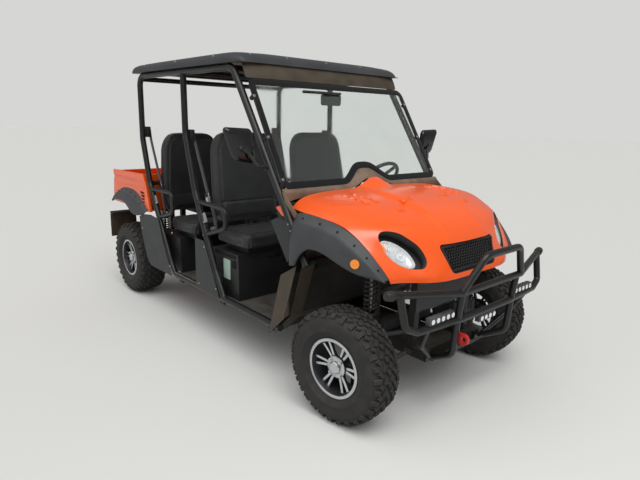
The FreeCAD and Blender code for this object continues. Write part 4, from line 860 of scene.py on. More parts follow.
def make_belts():
    """Woven webbing with its reel, its tongue and its floor anchor."""
    webbing, plastic, metal = bmesh.new(), bmesh.new(), bmesh.new()
    for belt in BELTS:
        path = bent_path([(x, -624, z) for x, z in belt["path"]], 60, 6)
        # The webbing's middle bows a little outwards, so that it looks like cloth.
        rows = [[point + Vector((across * 22, -1.5 * (1 - across * across), 0))
                 for across in (-1, -0.5, 0, 0.5, 1)] for point in path]
        skin(webbing, rows)
        x, z = belt["path"][2]
        lean = turned(-24, "Y")
        add_block(metal, (50, 5, 62), moved(x, -629, z - 26) @ lean)
        add_block(plastic, (46, 12, 30), moved(x - 8, -630, z - 2) @ lean, 0.9)
        x, z = belt["reel"]
        add_block(plastic, (58, 40, 84), moved(x, -645, z), 0.92)
        x, z = belt["path"][-1]
        add_block(metal, (36, 36, 24), moved(x, -645, z + 10), 0.8)
        add_bolt(metal, moved(x, -625, z + 10) @ turned(-90, "X"), 10, 5, 6)
    for mesh, offset in ((plastic, 4), (metal, 1)):
        round_edges(mesh, offset)
    for mesh in (webbing, plastic, metal):
        mirror_left(mesh)
    add_wall(add_piece("belt_webbing", webbing, ["webbing"], 50, ["seat_belts"]), 2.2, 0)
    add_piece("belt_reels", plastic, ["black_plastic"])
    add_piece("belt_tongues", metal, ["bright_alloy"])


def make_bed_trim():
    """Rail, pressed bands, vents and ribs of the bed; fields and catches of the tailgate."""
    sides, vents, ribs = bmesh.new(), bmesh.new(), bmesh.new()
    low, rear, front, half = 800, -1692, -1040, 712
    rail = bent_path([(rear - 6, -(half + 2), low + 286), (front + 2, -(half + 2), low + 300)], 1)
    tube_along(sides, rail, 7, 16)
    # Pressed bands: height over the bed's floor at the rear and the front, and band height
    for start, end, tall in ((262, 276, 12), (236, 248, 5), (176, 186, 7)):
        back = rear - 4 - 0.15 * (286 - start)
        band = [(back, low + start), (front - 4, low + end), (front - 4, low + end + tall),
                (back, low + start + tall)]
        add_plate(sides, band, 0, side_place(half - 1), 1, (0, -4.5, 0))
    # The vents are near-black plates: painted shade in place of their open hollows.
    vent = [(front - 12, low + 150), (front - 96, low + 158), (front - 20, low + 28)]
    add_plate(vents, vent, 8, side_place(half - 0.5), 4, (0, -1.5, 0))
    for step in range(4):
        add_block(sides, (85 - 16 * step, 6, 7),
                  moved(front - 50 + 7 * step, -half - 1, low + 134 - 26 * step), 0.8)
    mend_normals(sides)
    mirror_left(sides)
    mirror_left(vents)
    for count in range(9):
        y = (count - 4) * 140
        add_block(ribs, (600, 55, 8), moved(-1365, y, 824.5), 0.8)
        add_block(ribs, (6, 70, 200), moved(-1064.5, y, 955), 0.9)
    round_edges(ribs, 2)
    add_piece("bed_bands", sides, ["orange_paint"], body="bed")
    add_piece("bed_vents", vents, ["deep_black"], body="bed")
    add_piece("bed_ribs", ribs, ["orange_paint"], body="bed")
    gate, catch = bmesh.new(), bmesh.new()
    # The tailgate leans forwards by 45 mm over its height of 276 mm.
    slope = 45 / 276
    lean = Matrix.Rotation(math.atan(slope), 4, "Y")
    for rise, tall in ((70, 90), (190, 60)):
        for y in (-460, 0, 460):
            add_block(gate, (8, 380, tall), moved(-1741.5 + slope * rise, y, 806 + rise) @ lean,
                      0.92)
    for y in (-600, 600):
        add_block(catch, (16, 50, 34), moved(-1703.5, y, 1050) @ lean, 0.8)
    for mesh in (gate, catch):
        round_edges(mesh, 3)
    add_piece("tailgate_fields", gate, ["orange_paint"], body="tailgate")
    add_piece("tailgate_catches", catch, ["black_plastic"], body="tailgate")


# Springs, controls and small fittings

# Shock absorbers in millimetres: their place, foot and top
SHOCKS = [
    {"x": 1290, "y": -450, "low": 257, "high": 800},
    {"x": -1359, "y": -400, "low": 295, "high": 759},
]
SPRING_RADIUS, SPRING_WIRE, SPRING_TURNS = 35, 6, 8


def make_shocks():
    """Dampers with a coil spring between two cups, and an eye at each end."""
    mesh = bmesh.new()
    for shock in SHOCKS:
        x, y, low, high = shock["x"], shock["y"], shock["low"], shock["high"]
        cup, cap = low + (high - low) * 0.55, high - 24
        add_round(mesh, moved(x, y, (low + cup) / 2 + 14), 20, cup - low - 20, material=1)
        add_round(mesh, moved(x, y, (cup + cap) / 2), 9, cap - cup + 20, material=2)
        add_round(mesh, moved(x, y, cup), 41, 8, 38, material=1)
        add_round(mesh, moved(x, y, cap), 38, 8, 41, material=1)
        for level in (low + 14, high - 14):
            turn = turned(90, "Y")
            add_round(mesh, moved(x, y, level) @ turn, 13, 30, material=1)
        start, rise = cup + 9, cap - cup - 18
        coil = []
        for step in range(SPRING_TURNS * 20 + 1):
            angle = math.tau * step / 20
            coil.append((x + SPRING_RADIUS * math.cos(angle), y + SPRING_RADIUS * math.sin(angle),
                         start + rise * step / (SPRING_TURNS * 20)))
        tube_along(mesh, coil, SPRING_WIRE, 8)
    mirror_left(mesh)
    add_piece("springs", mesh, ["spring_coat", "frame_coat", "zinc_steel"],
              replaces=["shock_absorbers"])


def make_steering_wheel():
    """Padded rim, three dished spokes and a hub cap."""
    mesh = bmesh.new()
    ring = [(164 + 13 * math.cos(math.tau * i / 14), 13 * math.sin(math.tau * i / 14))
            for i in range(14)]
    spin_profile(mesh, [(r + 14, y) for r, y in ring], 72)
    for face in mesh.faces:
        face.smooth = True
    for degrees in (30, 150, 270):
        turn = turned(degrees, "Y")
        add_block(mesh, (112, 9, 34), turn @ moved(108, -8, 0), 1, 1)
    cap = turned(90, "X")
    add_round(mesh, cap @ moved(0, 0, 4), 52, 26, 44, 40)
    add_round(mesh, cap @ moved(0, 0, -12), 30, 10, 24, 40)
    # The wheel is drawn about Y, which is turned to the column.
    axis = Vector((-math.sin(math.radians(52)), 0, math.cos(math.radians(52))))
    turn = Vector((0, -1, 0)).rotation_difference(axis).to_matrix().to_4x4()
    bmesh.ops.transform(mesh, matrix=moved(560, 352, 1150) @ turn, verts=mesh.verts[:])
    add_piece("wheel_rim_and_hub", mesh, ["black_plastic", "frame_coat"], 40, ["steering_wheel"],
              body="steering_wheel")


def make_dash_fittings():
    """Instrument pod, dials, switches, glove box, air vents, pedals and levers."""
    dash = frame["nodes"]["dash"]
    plastic, dials, metal = bmesh.new(), bmesh.new(), bmesh.new()

    def on_dash(y, z):
        return on_surface(dash, (200, y, z), (1, 0, 0))

    add_block(plastic, (230, 110, 50), on_dash(352, 1055), 0.8)
    for y, radius in ((308, 34), (396, 34), (352, 18)):
        spot = on_dash(y, 1055) @ moved(0, 0, 27)
        add_round(plastic, spot, radius + 5, 6, radius + 3)
        add_round(dials, spot @ moved(0, 0, 3.5), radius, 1.6)
    for y in (180, 140, 100, 60):
        add_block(plastic, (26, 42, 14), on_dash(y, 1040), 0.85)
    for y in (520, -520, 0):
        for row in range(4):
            add_block(plastic, (110, 8, 12), on_dash(y, 1005 + 16 * row), 0.9)
    add_block(plastic, (340, 150, 12), on_dash(-300, 1010), 0.97)
    add_block(metal, (50, 14, 12), on_dash(-300, 1068) @ moved(0, 0, 8), 0.8)
    # Pedals hang from the dash; the levers stand on the floor between the front seats.
    for y, wide in ((300, 60), (410, 90)):
        tube_along(metal, bent_path([(700, y, 880), (640, y, 760), (664, y, 500)], 60), 8, 12)
        add_block(plastic, (85, wide, 14), moved(656, y, 490) @ turned(-62, "Y"), 0.9)
    for y, height, lean in ((30, 830, 60), (-34, 800, -30)):
        tube_along(metal, bent_path([(290, y, 366), (300, y, 600), (290 - lean, y, height)], 80),
                   8, 12)
        bmesh.ops.create_uvsphere(plastic, u_segments=20, v_segments=12, radius=0.024,
                                  matrix=moved(290 - lean, y, height + 8))
    for mesh in (plastic, metal):
        round_edges(mesh, 1.2)
    add_piece("dash_fittings", plastic, ["gloss_black"])
    add_piece("dash_dials", dials, ["lamp_glass"])
    add_piece("dash_levers", metal, ["frame_coat"], 40)


def make_work_lights():
    """Slim light bars: finned body, bright cells and a clear cover."""
    body, cells = bmesh.new(), bmesh.new()
    for low, high, base, front in (((293, 625), (496, 663), 1696, 1732),
                                   ((-496, 625), (-293, 663), 1696, 1732),
                                   ((-80, 549), (80, 587), 1712, 1748)):
        middle = Vector(((base + front) / 2 - 4, (low[0] + high[0]) / 2, (low[1] + high[1]) / 2))
        wide, tall = high[0] - low[0], high[1] - low[1]
        add_block(body, (front - base - 8, wide, tall), moved(*middle))
        count = max(4, int(wide / 34))
        for index in range(count):
            y = low[0] + wide * (index + 0.5) / count
            spot = moved(front - 6, y, middle.z) @ turned(90, "Y")
            add_round(cells, spot, 8, 6, 13.5, 20)
            add_round(cells, spot @ moved(0, 0, 3.5), 12.5, 1.5, 12, 20, 1)
            add_block(body, (6, 4, tall + 6), moved(base + 3, y, middle.z))
    round_edges(body, 2)
    add_piece("work_light_bodies", body, ["cast_metal"], replaces=["work_lights"])
    # The cells' reflector finish is partly a painted reflection: a near-white matte colour.
    add_piece("work_light_cells", cells, ["reflector", "lamp_glass"])


def make_tow_plates():
    """Red towing eye at the front and a black hitch plate at the rear."""
    mesh = bmesh.new()
    mesh.from_mesh(frame["nodes"]["tow_plates"].data)
    bmesh.ops.remove_doubles(mesh, verts=mesh.verts[:], dist=1e-6)
    for face in mesh.faces:
        face.material_index = 0 if face.calc_center_median().x > 0 else 1
    round_edges(mesh, 1.2)
    add_piece("towing_eyes", mesh, ["red_coat", "frame_coat"], replaces=["tow_plates"])


def make_small_trim():
    """Sill strips, blank label, box recess, catches, panel fasteners and bumper plugs."""
    steel, plate, dark = bmesh.new(), bmesh.new(), bmesh.new()
    for y in (-698, 698):
        add_block(steel, (400, 16, 4), moved(-380, y, 383))
    add_plate(plate, [(66, 486), (152, 486), (152, 626), (66, 626)], 7, side_place(635.2), 4,
              (0, -1.2, 0))
    # Tray mouth in the front box, a near-black plate that is painted shade in its hollow, and the
    # catch of its lid in the same near-black
    for wall, catch in ((635.4, -638), (-636.4, 638)):
        add_plate(dark, [(-50, 646), (226, 646), (226, 672), (-50, 672)], 6, side_place(wall), 3,
                  (0, -1, 0))
        add_block(dark, (40, 12, 50), moved(200, catch, 606), 0.8)
    # Thin near-black bars on the box's front: painted shade, as in the tray mouth.
    for y in (-340, -110, 110, 340):
        add_block(dark, (8, 120, 14), moved(262, y, 640), 0.8)
    for x, z in ((-560, 700), (-620, 420), (-1120, 640), (-150, 400), (-60, 690), (90, 420)):
        for side in (-1, 1):
            add_bolt(steel, moved(x, side * 717, z) @ turned(-90 * side, "X"), 8, 4)
    # Bright catch plates beside the posts, inside the hip loops
    for x, z in ((-78, 893), (-858, 918)):
        for y in (-694, 694):
            add_block(steel, (30, 10, 70), moved(x, y, z) @ turned(-26, "Y"), 0.85)
            add_round(steel, moved(x, y, z - 30) @ turned(90, "X"), 9, 18)
    for mesh in (plate, dark):
        mend_normals(mesh)
    # Round plugs on the ends of the bumper's bar
    plugs = bmesh.new()
    for y in (-712, 712):
        aim = aimed((-111, math.copysign(427, y), 44))
        add_round(plugs, moved(1644, y, 803) @ aim, 25, 46, 23)
    round_edges(plugs, 7, 3)
    add_piece("bumper_plugs", plugs, ["black_plastic"])
    add_piece("sill_strips", steel, ["zinc_steel"])
    add_piece("blank_label", plate, ["label_plate"])
    add_piece("box_fittings", dark, ["deep_black"])


# Wheels

def wheel_place(corner):
    """Matrix that takes a wheel drawn about Y, its outer face towards +Y, to its place."""
    joints = frame["record"]["behaviour"]["joints"]
    joint = next(joint for joint in joints if joint["name"] == "spin_" + corner)
    out = Vector(joint["axis"]).normalized() * (1 if corner.endswith("left") else -1)
    up = Vector((0, 0, 1))
    turn = Matrix((out.cross(up), out, up)).transposed()
    return Matrix.Translation(joint["pos_m"]) @ turn.to_4x4()


def tread_radius(y, half):
    """Radius of the casing at a distance from its middle: flat crown, round shoulder."""
    past = max(0.0, abs(y) - (half - 46))
    return 303 - 0.016 * past ** 2 - 0.0012 * y * y


def tyre_half(corner):
    """Half the width of a corner's tyre."""
    return (206 if corner.startswith("front") else 250) / 2


# Farthest that a point of a tyre may stand from its axle
TYRE_REACH = 0.3168

# Blocks of one pitch: place across the tread as a share of half the width, shift along the
# tread as a share of a pitch, length along and width across in millimetres, and turn in degrees.
TREAD = [
    {"across": 0.10, "along": 0.00, "long": 34, "wide": 22, "turn": 24},
    {"across": 0.36, "along": 0.42, "long": 40, "wide": 24, "turn": -32},
    {"across": 0.62, "along": 0.05, "long": 36, "wide": 26, "turn": 38},
]


def make_tyre(corner, settings):
    """Casing with bulged side walls, angled tread blocks and shoulder lugs."""
    half = tyre_half(corner)
    side = [(152.2, half - 34), (160, half - 28), (168, half - 24), (180, half - 13),
            (200, half - 5), (203, half - 2.6), (208, half - 2.4), (211, half - 3.6),
            (236, half - 1), (262, half - 4), (280, half - 13), (291, half - 25),
            (299, half - 42), (303, half - 66)]
    profile = side + [(r, -y) for r, y in reversed(side)]
    mesh = bmesh.new()
    spin_profile(mesh, profile, 96)
    mend_normals(mesh)
    depth = settings.block_depth / MM
    blocks = bmesh.new()
    for pitch in range(settings.pitches):
        for hand in (-1, 1):
            step = pitch + (0.5 if hand > 0 else 0)
            for block in TREAD:
                y = hand * block["across"] * half
                angle = math.tau * (step + block["along"]) / settings.pitches
                lean = Matrix.Rotation(-hand * 0.06 * block["across"], 4, "X")
                place = (Matrix.Rotation(angle, 4, "Y")
                         @ moved(0, y, tread_radius(y, half) + depth * 0.35) @ lean
                         @ turned(hand * block["turn"], "Z"))
                add_block(blocks, (block["long"], block["wide"], depth * 1.25), place, 0.82)
            reach = 34 if pitch % 2 else 48
            angle = math.tau * (step + 0.55) / settings.pitches
            place = Matrix.Rotation(angle, 4, "Y") @ moved(0, hand * (half - 21), 292.5)
            add_block(blocks, (30, reach, 15), place @ turned(-hand * 47, "X"), 0.84)
    for vert in blocks.verts:
        # No block stands past the tyre's own size.
        away = math.hypot(vert.co.x, vert.co.z)
        if away > TYRE_REACH:
            vert.co.x *= TYRE_REACH / away
            vert.co.z *= TYRE_REACH / away
        vert.co.y = max(-half * MM, min(half * MM, vert.co.y))
    round_edges(blocks, 1.6, 1, 40)
    data = to_data("blocks", blocks)
    mesh.from_mesh(data)
    bpy.data.meshes.remove(data)
    bmesh.ops.transform(mesh, matrix=wheel_place(corner), verts=mesh.verts[:])
    add_piece("tread_" + corner, mesh, ["tyre_rubber"], 30, ["tyre_" + corner],
              body="wheel_" + corner)


def spoke_blank(mesh, face_y, angle):
    """One spoke: a bar that rises from the hub to the rim, its face turned bright."""
    profile = [(36, face_y - 26), (36, face_y + 2), (92, face_y + 6), (147, face_y + 14),
               (147, face_y - 14), (92, face_y - 12)]
    ring = [mesh.verts.new((r * MM, y * MM, -7.5 * MM)) for r, y in profile]
    start = mesh.faces.new(ring)
    far = bmesh.ops.extrude_face_region(mesh, geom=[start])["geom"]
    verts = shift_fresh(mesh, far, (0, 0, 15)) + ring
    faces = {face for vert in verts for face in vert.link_faces}
    bmesh.ops.recalc_face_normals(mesh, faces=list(faces))
    for face in faces:
        face.material_index = 1 if face.normal.y > 0.8 else 0
    bmesh.ops.rotate(mesh, cent=(0, 0, 0), matrix=Matrix.Rotation(angle, 3, "Y"), verts=verts)


def make_rim(corner):
    """Cast wheel with a bright lip, six pairs of spokes, a cap and four nuts."""
    half = tyre_half(corner) - 20
    face_y = half - 40
    mesh = bmesh.new()
    barrel = [(151.6, -half + 6), (163, -half + 6), (164, -half), (146, -half), (143, -half + 8),
              (138, -half + 30), (138, half - 34), (143, half - 12), (147, half - 1.5),
              (149, half), (163, half), (164, half - 1.5), (163, half - 5.5), (151.6, half - 6)]
    for face in spin_profile(mesh, barrel, 72):
        middle = face.calc_center_median()
        away = math.hypot(middle.x, middle.z)
        face.material_index = 1 if middle.y > (half - 7) * MM and away > 0.1455 else 0
    mend_normals(mesh)
    for pair in range(6):
        for side in (-8.5, 8.5):
            spoke_blank(mesh, face_y, math.radians(pair * 60 + side))
    hub = [(0, face_y - 55), (46, face_y - 55), (46, face_y + 3), (60, face_y + 5),
           (62, face_y + 8), (60, face_y + 11), (38, face_y + 12), (35, face_y + 14),
           (34, face_y + 24), (28, face_y + 29), (14, face_y + 31), (0, face_y + 31)]
    for face in spin_profile(mesh, hub, 48):
        middle = face.calc_center_median()
        face.material_index = 1 if middle.y > (face_y + 11) * MM else 0
    for nut in range(4):
        stand = turned(45 + 90 * nut, "Y") @ moved(50, face_y + 17, 0)
        add_round(mesh, stand @ turned(-90, "X"), 9, 13, 8, 6, 1)
    mend_normals(mesh)
    round_edges(mesh, 1.2, 1)
    bmesh.ops.transform(mesh, matrix=wheel_place(corner), verts=mesh.verts[:])
    add_piece("wheel_rim_" + corner, mesh, ["dark_alloy", "bright_alloy"], 30, ["rim_" + corner],
              body="wheel_" + corner)


# Hood, flares and roof

# Sections of the hood from the windscreen to the lip, in millimetres: middle of the hood, its
# edge, half its width, how it falls from the middle to the edge, and the lift of its middle band
HOOD = [
    {"top": (862, 1175), "edge": (868, 1098), "half": 670, "fall": "rear", "lift": 0},
    {"top": (980, 1172), "edge": (968, 1093), "half": 691, "fall": "rear", "lift": 12},
    {"top": (1100, 1166), "edge": (1080, 1088), "half": 695, "fall": "rear", "lift": 19},
    {"top": (1215, 1150), "edge": (1170, 1082), "half": 686, "fall": "rear", "lift": 21},
    {"top": (1325, 1126), "edge": (1259, 1066), "half": 668, "fall": "mid", "lift": 21},
    {"top": (1430, 1092), "edge": (1311, 1040), "half": 654, "fall": "mid", "lift": 20},
    {"top": (1512, 1052), "edge": (1359, 1007), "half": 638, "fall": "mid", "lift": 13},
    {"top": (1580, 990), "edge": (1425, 944), "half": 613, "fall": "cheek", "lift": 2},
    {"top": (1618, 905), "edge": (1479, 879), "half": 590, "fall": "cheek", "lift": 0},
    {"top": (1640, 822), "edge": (1519, 826), "half": 571, "fall": "lip", "lift": 0},
    {"top": (1652, 790), "edge": (1520, 800), "half": 560, "fall": "lip", "lift": 0},
]
SHARES = (0, 0.14, 0.26, 0.32, 0.5, 0.68, 0.83, 0.93, 1)
FALLS = {
    "rear": (0, 0, 0, 0, 0.03, 0.09, 0.22, 0.47, 1),
    "mid": (0, 0.01, 0.02, 0.035, 0.08, 0.25, 0.5, 0.78, 1),
    "cheek": (0, 0.02, 0.05, 0.09, 0.25, 0.5, 0.75, 0.92, 1),
    "lip": (0, 0, 0, 0.01, 0.05, 0.3, 0.75, 0.93, 1),
}
LAMP_POCKET = [(0, 8), (105, 4), (250, -105), (266, -212), (150, -206), (52, -140)]
LAMP = [(20, -26), (102, -36), (188, -106), (214, -198), (118, -188), (54, -112)]
GRILLE = [(-206, 814), (206, 814), (251, 963), (-251, 963)]
LAMP_FACE = Vector((0.775, -0.243, 0.583)).normalized()


def hood_row(section):
    """Points of one section of the hood, from its right edge to its left edge."""
    start = Vector((section["top"][0], 0, section["top"][1]))
    across = Vector((section["edge"][0], 0, section["edge"][1])) - start
    row = []
    for share, fall in zip(SHARES, FALLS[section["fall"]]):
        point = start + across * fall
        point.y = share * section["half"]
        if share < 0.3:
            point.z += section["lift"]
        row.append(point)
    return [Vector((p.x, -p.y, p.z)) for p in row[:0:-1]] + row


def lamp_place():
    """Plane of the right-hand headlamp."""
    across = Vector((0.299, 0.954, 0)).normalized()
    return plane((1382, -559, 1021), across, LAMP_FACE.cross(across).normalized())


def make_collar(hood, mesh, outline, corner, place, aim, depth, margin):
    """A wall from the hood's surface to a depth behind a plane, and the face at its foot."""
    face = outline_face(mesh, outline, corner, place, 8)
    if face.normal.dot(aim) < 0:
        face.normal_flip()
    edges = [edge for edge in face.edges if edge.calc_length() > LONG_EDGE]
    bmesh.ops.subdivide_edges(mesh, edges=edges, cuts=6)
    rim = face.verts[:]
    foot = dome(mesh, face, [(margin, -depth)])
    for vert in rim:
        hit, spot, _, _ = hood.ray_cast(vert.co + aim * 0.15, -aim)
        vert.co = (spot if hit else vert.co) - aim * 0.0015
    return foot


def make_collars(hood):
    """Black wells of the headlamps and the black surround of the grille."""
    bpy.context.view_layer.update()
    mesh = bmesh.new()
    make_collar(hood, mesh, LAMP_POCKET, 61, lamp_place(), LAMP_FACE, 36, 5)
    mirror_left(mesh)
    make_collar(hood, mesh, GRILLE, 25, facing(1600), Vector((1, 0, 0)), 62, 1)
    add_wall(add_piece("lamp_wells", mesh, ["black_plastic"], 40, ["headlamps"]), 1.5)


def make_hood():
    """Moulded hood with a raised middle band, lamp pockets, a grille window and a hump."""
    mesh = bmesh.new()
    skin(mesh, [hood_row(section) for section in HOOD])
    crease = crease_border(mesh, 0.8)
    for edge in mesh.edges:
        low, high = sorted(abs(vert.co.y) for vert in edge.verts)
        if edge.is_boundary:
            continue
        if max(vert.co.x for vert in edge.verts) > 1.6 and high - low > 0.01:
            edge[crease] = 0.35
        elif high < 0.24 and low > 0.14 and min(vert.co.x for vert in edge.verts) < 1.58:
            edge[crease] = 0.8
    face_out(mesh)
    hood = moulding("hood_moulding", mesh, ["orange_paint"], 3, 4, 35, ["hood"])
    make_collars(hood)
    cutter = bmesh.new()
    add_plate(cutter, LAMP_POCKET, 62, lamp_place(), 8, LAMP_FACE * -110)
    bmesh.ops.translate(cutter, vec=LAMP_FACE * 0.07, verts=cutter.verts[:])
    mirror_left(cutter)
    add_plate(cutter, GRILLE, 26, facing(1450), 6, (300, 0, 0))
    mend_normals(cutter)
    cut_away(hood, cutter)
    make_hump()
    make_hood_trim(hood)


def make_hump():
    """Arched hump that rises under the windscreen's arch and fades into the hood."""
    shares = (-1, -0.72, -0.42, -0.16, 0.16, 0.42, 0.72, 1)
    rises = (0, 0.16, 0.66, 1, 1, 0.66, 0.16, 0)
    rows = []
    for x, half, low, high in ((858, 172, 1176, 1234), (884, 160, 1177, 1228),
                               (925, 132, 1177, 1210), (975, 96, 1177, 1190),
                               (1030, 60, 1175, 1178)):
        rows.append([(x, share * half, low + (high - low) * rise)
                     for share, rise in zip(shares, rises)])
    mesh = bmesh.new()
    skin(mesh, rows)
    face_out(mesh)
    crease = mesh.edges.layers.float.new("crease_edge")
    for edge in mesh.edges:
        # Edges that run along the hump's shoulders
        start, end = (vert.co for vert in edge.verts)
        if abs(start.y - end.y) < 0.03 and 0.0172 < abs(start.y) < 0.1172:
            edge[crease] = 0.45
    moulding("hood_hump", mesh, ["orange_paint"], 2, 3, 60)


def make_hood_trim(hood):
    """Plates at the door, small raised vents and the stands under the hood."""
    mesh = bmesh.new()
    jamb = [(709, 1078), (772, 1100), (868, 1100), (891, 1042), (772, 1035)]
    add_plate(mesh, jamb, 8, side_place(667), 3, (0, 4, 0))
    # Two rows of low louvres and a pair of scoops, each laid on the hood
    for row in range(2):
        for place in range(4):
            spot = on_surface(hood, (1190 - 55 * place, -340 - 80 * row, 1300), (0, 0, -1))
            add_block(mesh, (34, 55, 14), spot, 0.75)
    for x, y in ((1270, -170), (1330, -300)):
        add_block(mesh, (80, 50, 18), on_surface(hood, (x, y, 1300), (0, 0, -1)), 0.5)
    mirror_left(mesh)
    for y in (-245, 245):
        add_round(mesh, moved(1145, y, 992), 12, 300, sides=16)
    round_edges(mesh, 1.5)
    add_piece("hood_trim", mesh, ["orange_paint"])


def lamp_face(mesh, outline, corner, segments, depth):
    """A face of the headlamp, sunk by millimetres and turned to look out."""
    face = outline_face(mesh, outline, corner, lamp_place(), segments)
    bmesh.ops.translate(mesh, vec=LAMP_FACE * -depth * MM, verts=face.verts[:])
    if face.normal.dot(LAMP_FACE) < 0:
        face.normal_flip()
    return face


def make_headlamps():
    """A bright reflector with two projectors, an amber corner and a clear lens."""
    place = lamp_place()
    mesh = bmesh.new()
    face = lamp_face(mesh, LAMP, 44, 7, 31)
    dome(mesh, face, [(0.5, 21), (6, 0), (7, -12), (12, -5), (10, -1)])
    for x, y, radius in ((138, -118, 30), (92, -74, 17)):
        spot = place @ moved(x, y, -24)
        bmesh.ops.create_cone(mesh, cap_ends=False, segments=32, radius1=radius * 0.55 * MM,
                              radius2=radius * MM, depth=0.016, matrix=spot)
        bmesh.ops.create_uvsphere(mesh, u_segments=24, v_segments=12,
                                  radius=radius * 0.42 * MM, matrix=spot)
    mirror_left(mesh)
    # The reflector's near-white matte share is a painted reflection.
    add_piece("lamp_reflectors", mesh, ["reflector"], 30)
    mesh = bmesh.new()
    face = lamp_face(mesh, LAMP, 44, 7, 34)
    dome(mesh, face, [(0.3, 22), (4, 5), (9, 5), (12, 4), (14, 2), (12, 1)])
    mirror_left(mesh)
    add_wall(add_piece("lamp_lenses", mesh, ["lamp_glass"], 60), 2)
    mesh = bmesh.new()
    corner = [(26, -34), (60, -40), (74, -74), (50, -96)]
    dome(mesh, add_plate(mesh, corner, 8, place, 4, LAMP_FACE * 6), [(2, 1)])
    bmesh.ops.translate(mesh, vec=LAMP_FACE * -0.02, verts=mesh.verts[:])
    mirror_left(mesh)
    add_piece("lamp_corners", mesh, ["amber_lens"], 30)


def make_grille():
    """Dark plate with rows of six-sided openings in a rounded frame."""
    low, high = Vector((1629, 0, 818)), Vector((1574, 0, 960))
    place = plane(low, (0, 1, 0), (high - low).normalized())
    out = normal_of(place)
    tall = (high - low).length
    outer = [(-203, 2), (203, 2), (248, tall - 2), (-248, tall - 2)]
    mesh = bmesh.new()
    face = outline_face(mesh, outer, 22, place, 6)
    if face.normal.dot(out) < 0:
        face.normal_flip()
    for amount, rise in ((4, 0), (9, 3), (4, -8)):
        inset(mesh, face, amount)
        bmesh.ops.translate(mesh, vec=out * rise * MM, verts=face.verts[:])
    bmesh.ops.delete(mesh, geom=[face], context="FACES_ONLY")
    add_wall(add_piece("grille_frame", mesh, ["black_plastic"], replaces=["grille"]), 4)
    mesh = bmesh.new()
    pitch, rows = 23.0, 8
    step = (tall - 34) / rows
    for row in range(rows):
        middle = 17 + step * (row + 0.5)
        half = 206 + 45 * middle / tall - 14
        count = int(2 * half / pitch)
        for column in range(count):
            y = (column - (count - 1) / 2) * pitch + (pitch / 4 if row % 2 else -pitch / 4)
            if abs(y) > half - pitch * 0.55:
                continue
            ring = bmesh.ops.create_circle(mesh, cap_ends=False, segments=6, radius=1)["verts"]
            shape = moved(y, middle, 0) @ Matrix.Diagonal((pitch * 0.56 * MM, step * 0.6 * MM,
                                                           1, 1))
            bmesh.ops.transform(mesh, matrix=place @ shape, verts=ring)
            bars = bmesh.ops.extrude_edge_only(mesh, edges=list(
                {edge for vert in ring for edge in vert.link_edges}))["geom"]
            shift_fresh(mesh, bars, out * -8)
    add_wall(add_piece("grille_mesh", mesh, ["black_plastic"], 30), 2.4, 0)
    # Near-black plate behind the mesh: painted shade in the grille's hollow.
    mesh = bmesh.new()
    inner = [(-190, 12), (190, 12), (232, tall - 12), (-232, tall - 12)]
    add_plate(mesh, inner, 16, place, 4, out * -2)
    bmesh.ops.translate(mesh, vec=out * -0.026, verts=mesh.verts[:])
    mend_normals(mesh)
    add_piece("grille_back", mesh, ["deep_black"], 30)


# Stations of the flares in millimetres: seam x, y, z and arch x, y, z; the rear ones give Y
# from the bed's side
FRONT_FLARE = [
    (926, -715.2, 790, 985, -750, 802), (917, -715.2, 880, 996, -750, 832),
    (920, -714, 996, 1028, -750, 872), (938, -703, 1084, 1062, -748, 902),
    (1010, -697, 1096, 1103, -745, 919), (1146, -693.7, 1086, 1188, -735, 914),
    (1259, -667.7, 1064, 1277, -715, 872), (1359, -637.7, 1005, 1357, -690, 840),
    (1425, -612.7, 942, 1412, -668, 827), (1479, -589.7, 877, 1478, -640, 826),
    (1519, -570.7, 824, 1520, -612, 812),
]
REAR_FLARE = [
    (-1716, -712.3, 816, -1700, -752, 800), (-1650, -712.3, 872, -1640, -758, 826),
    (-1566, -712.3, 927, -1560, -760, 832), (-1490, -712.3, 952, -1490, -760, 837),
    (-1380, -712.3, 956, -1400, -760, 830), (-1277, -712.3, 955, -1330, -760, 795),
    (-1180, -712.3, 930, -1262, -758, 748), (-1090, -712.3, 880, -1190, -752, 738),
    (-992, -712.3, 806, -1040, -735, 768),
]
# Column of a flare's skin that is its shoulder
SHOULDER_COLUMN = 2


def make_flare(name, stations, lip, node, body):
    """Arch with a flange at its seam, a rounded shoulder, a turned lip and fasteners."""
    rows, spots = [], []
    for station in stations:
        seam, arch = Vector(station[:3]), Vector(station[3:])
        fall = arch - seam
        step = seam + Vector((fall.x * 0.26, 0, fall.z * 0.26))
        step.y = seam.y + fall.y * 0.86
        shoulder = seam + Vector((fall.x * 0.5, 0, fall.z * 0.5))
        shoulder.y = arch.y
        inner = arch + Vector((0, lip, 0))
        rows.append([seam, seam.lerp(step, 0.35), step, shoulder, arch, inner])
        spots.append(seam.lerp(step, 0.62))
    mesh = bmesh.new()
    skin(mesh, rows)
    crease = crease_border(mesh, 0.9)
    mesh.verts.index_update()
    for edge in mesh.edges:
        first, second = sorted(vert.index for vert in edge.verts)
        if second - first == len(rows[0]) and first % len(rows[0]) == SHOULDER_COLUMN:
            edge[crease] = 0.75
    face_out(mesh, (0, -1, 0))
    bmesh.ops.mirror(mesh, geom=mesh.verts[:] + mesh.edges[:] + mesh.faces[:],
                     matrix=Matrix.Identity(4), merge_dist=0, axis="Y")
    moulding(name, mesh, ["trim_plastic"], 2, 3.5, 50, [node], body)
    mesh = bmesh.new()
    for spot in spots[1:-1]:
        add_bolt(mesh, moved(spot.x, spot.y + 1, spot.z) @ aimed((0, -1, 0.45)), 7, 6)
    mirror_left(mesh)
    add_piece(name + "_bolts", mesh, ["gloss_black"], 30, body=body)


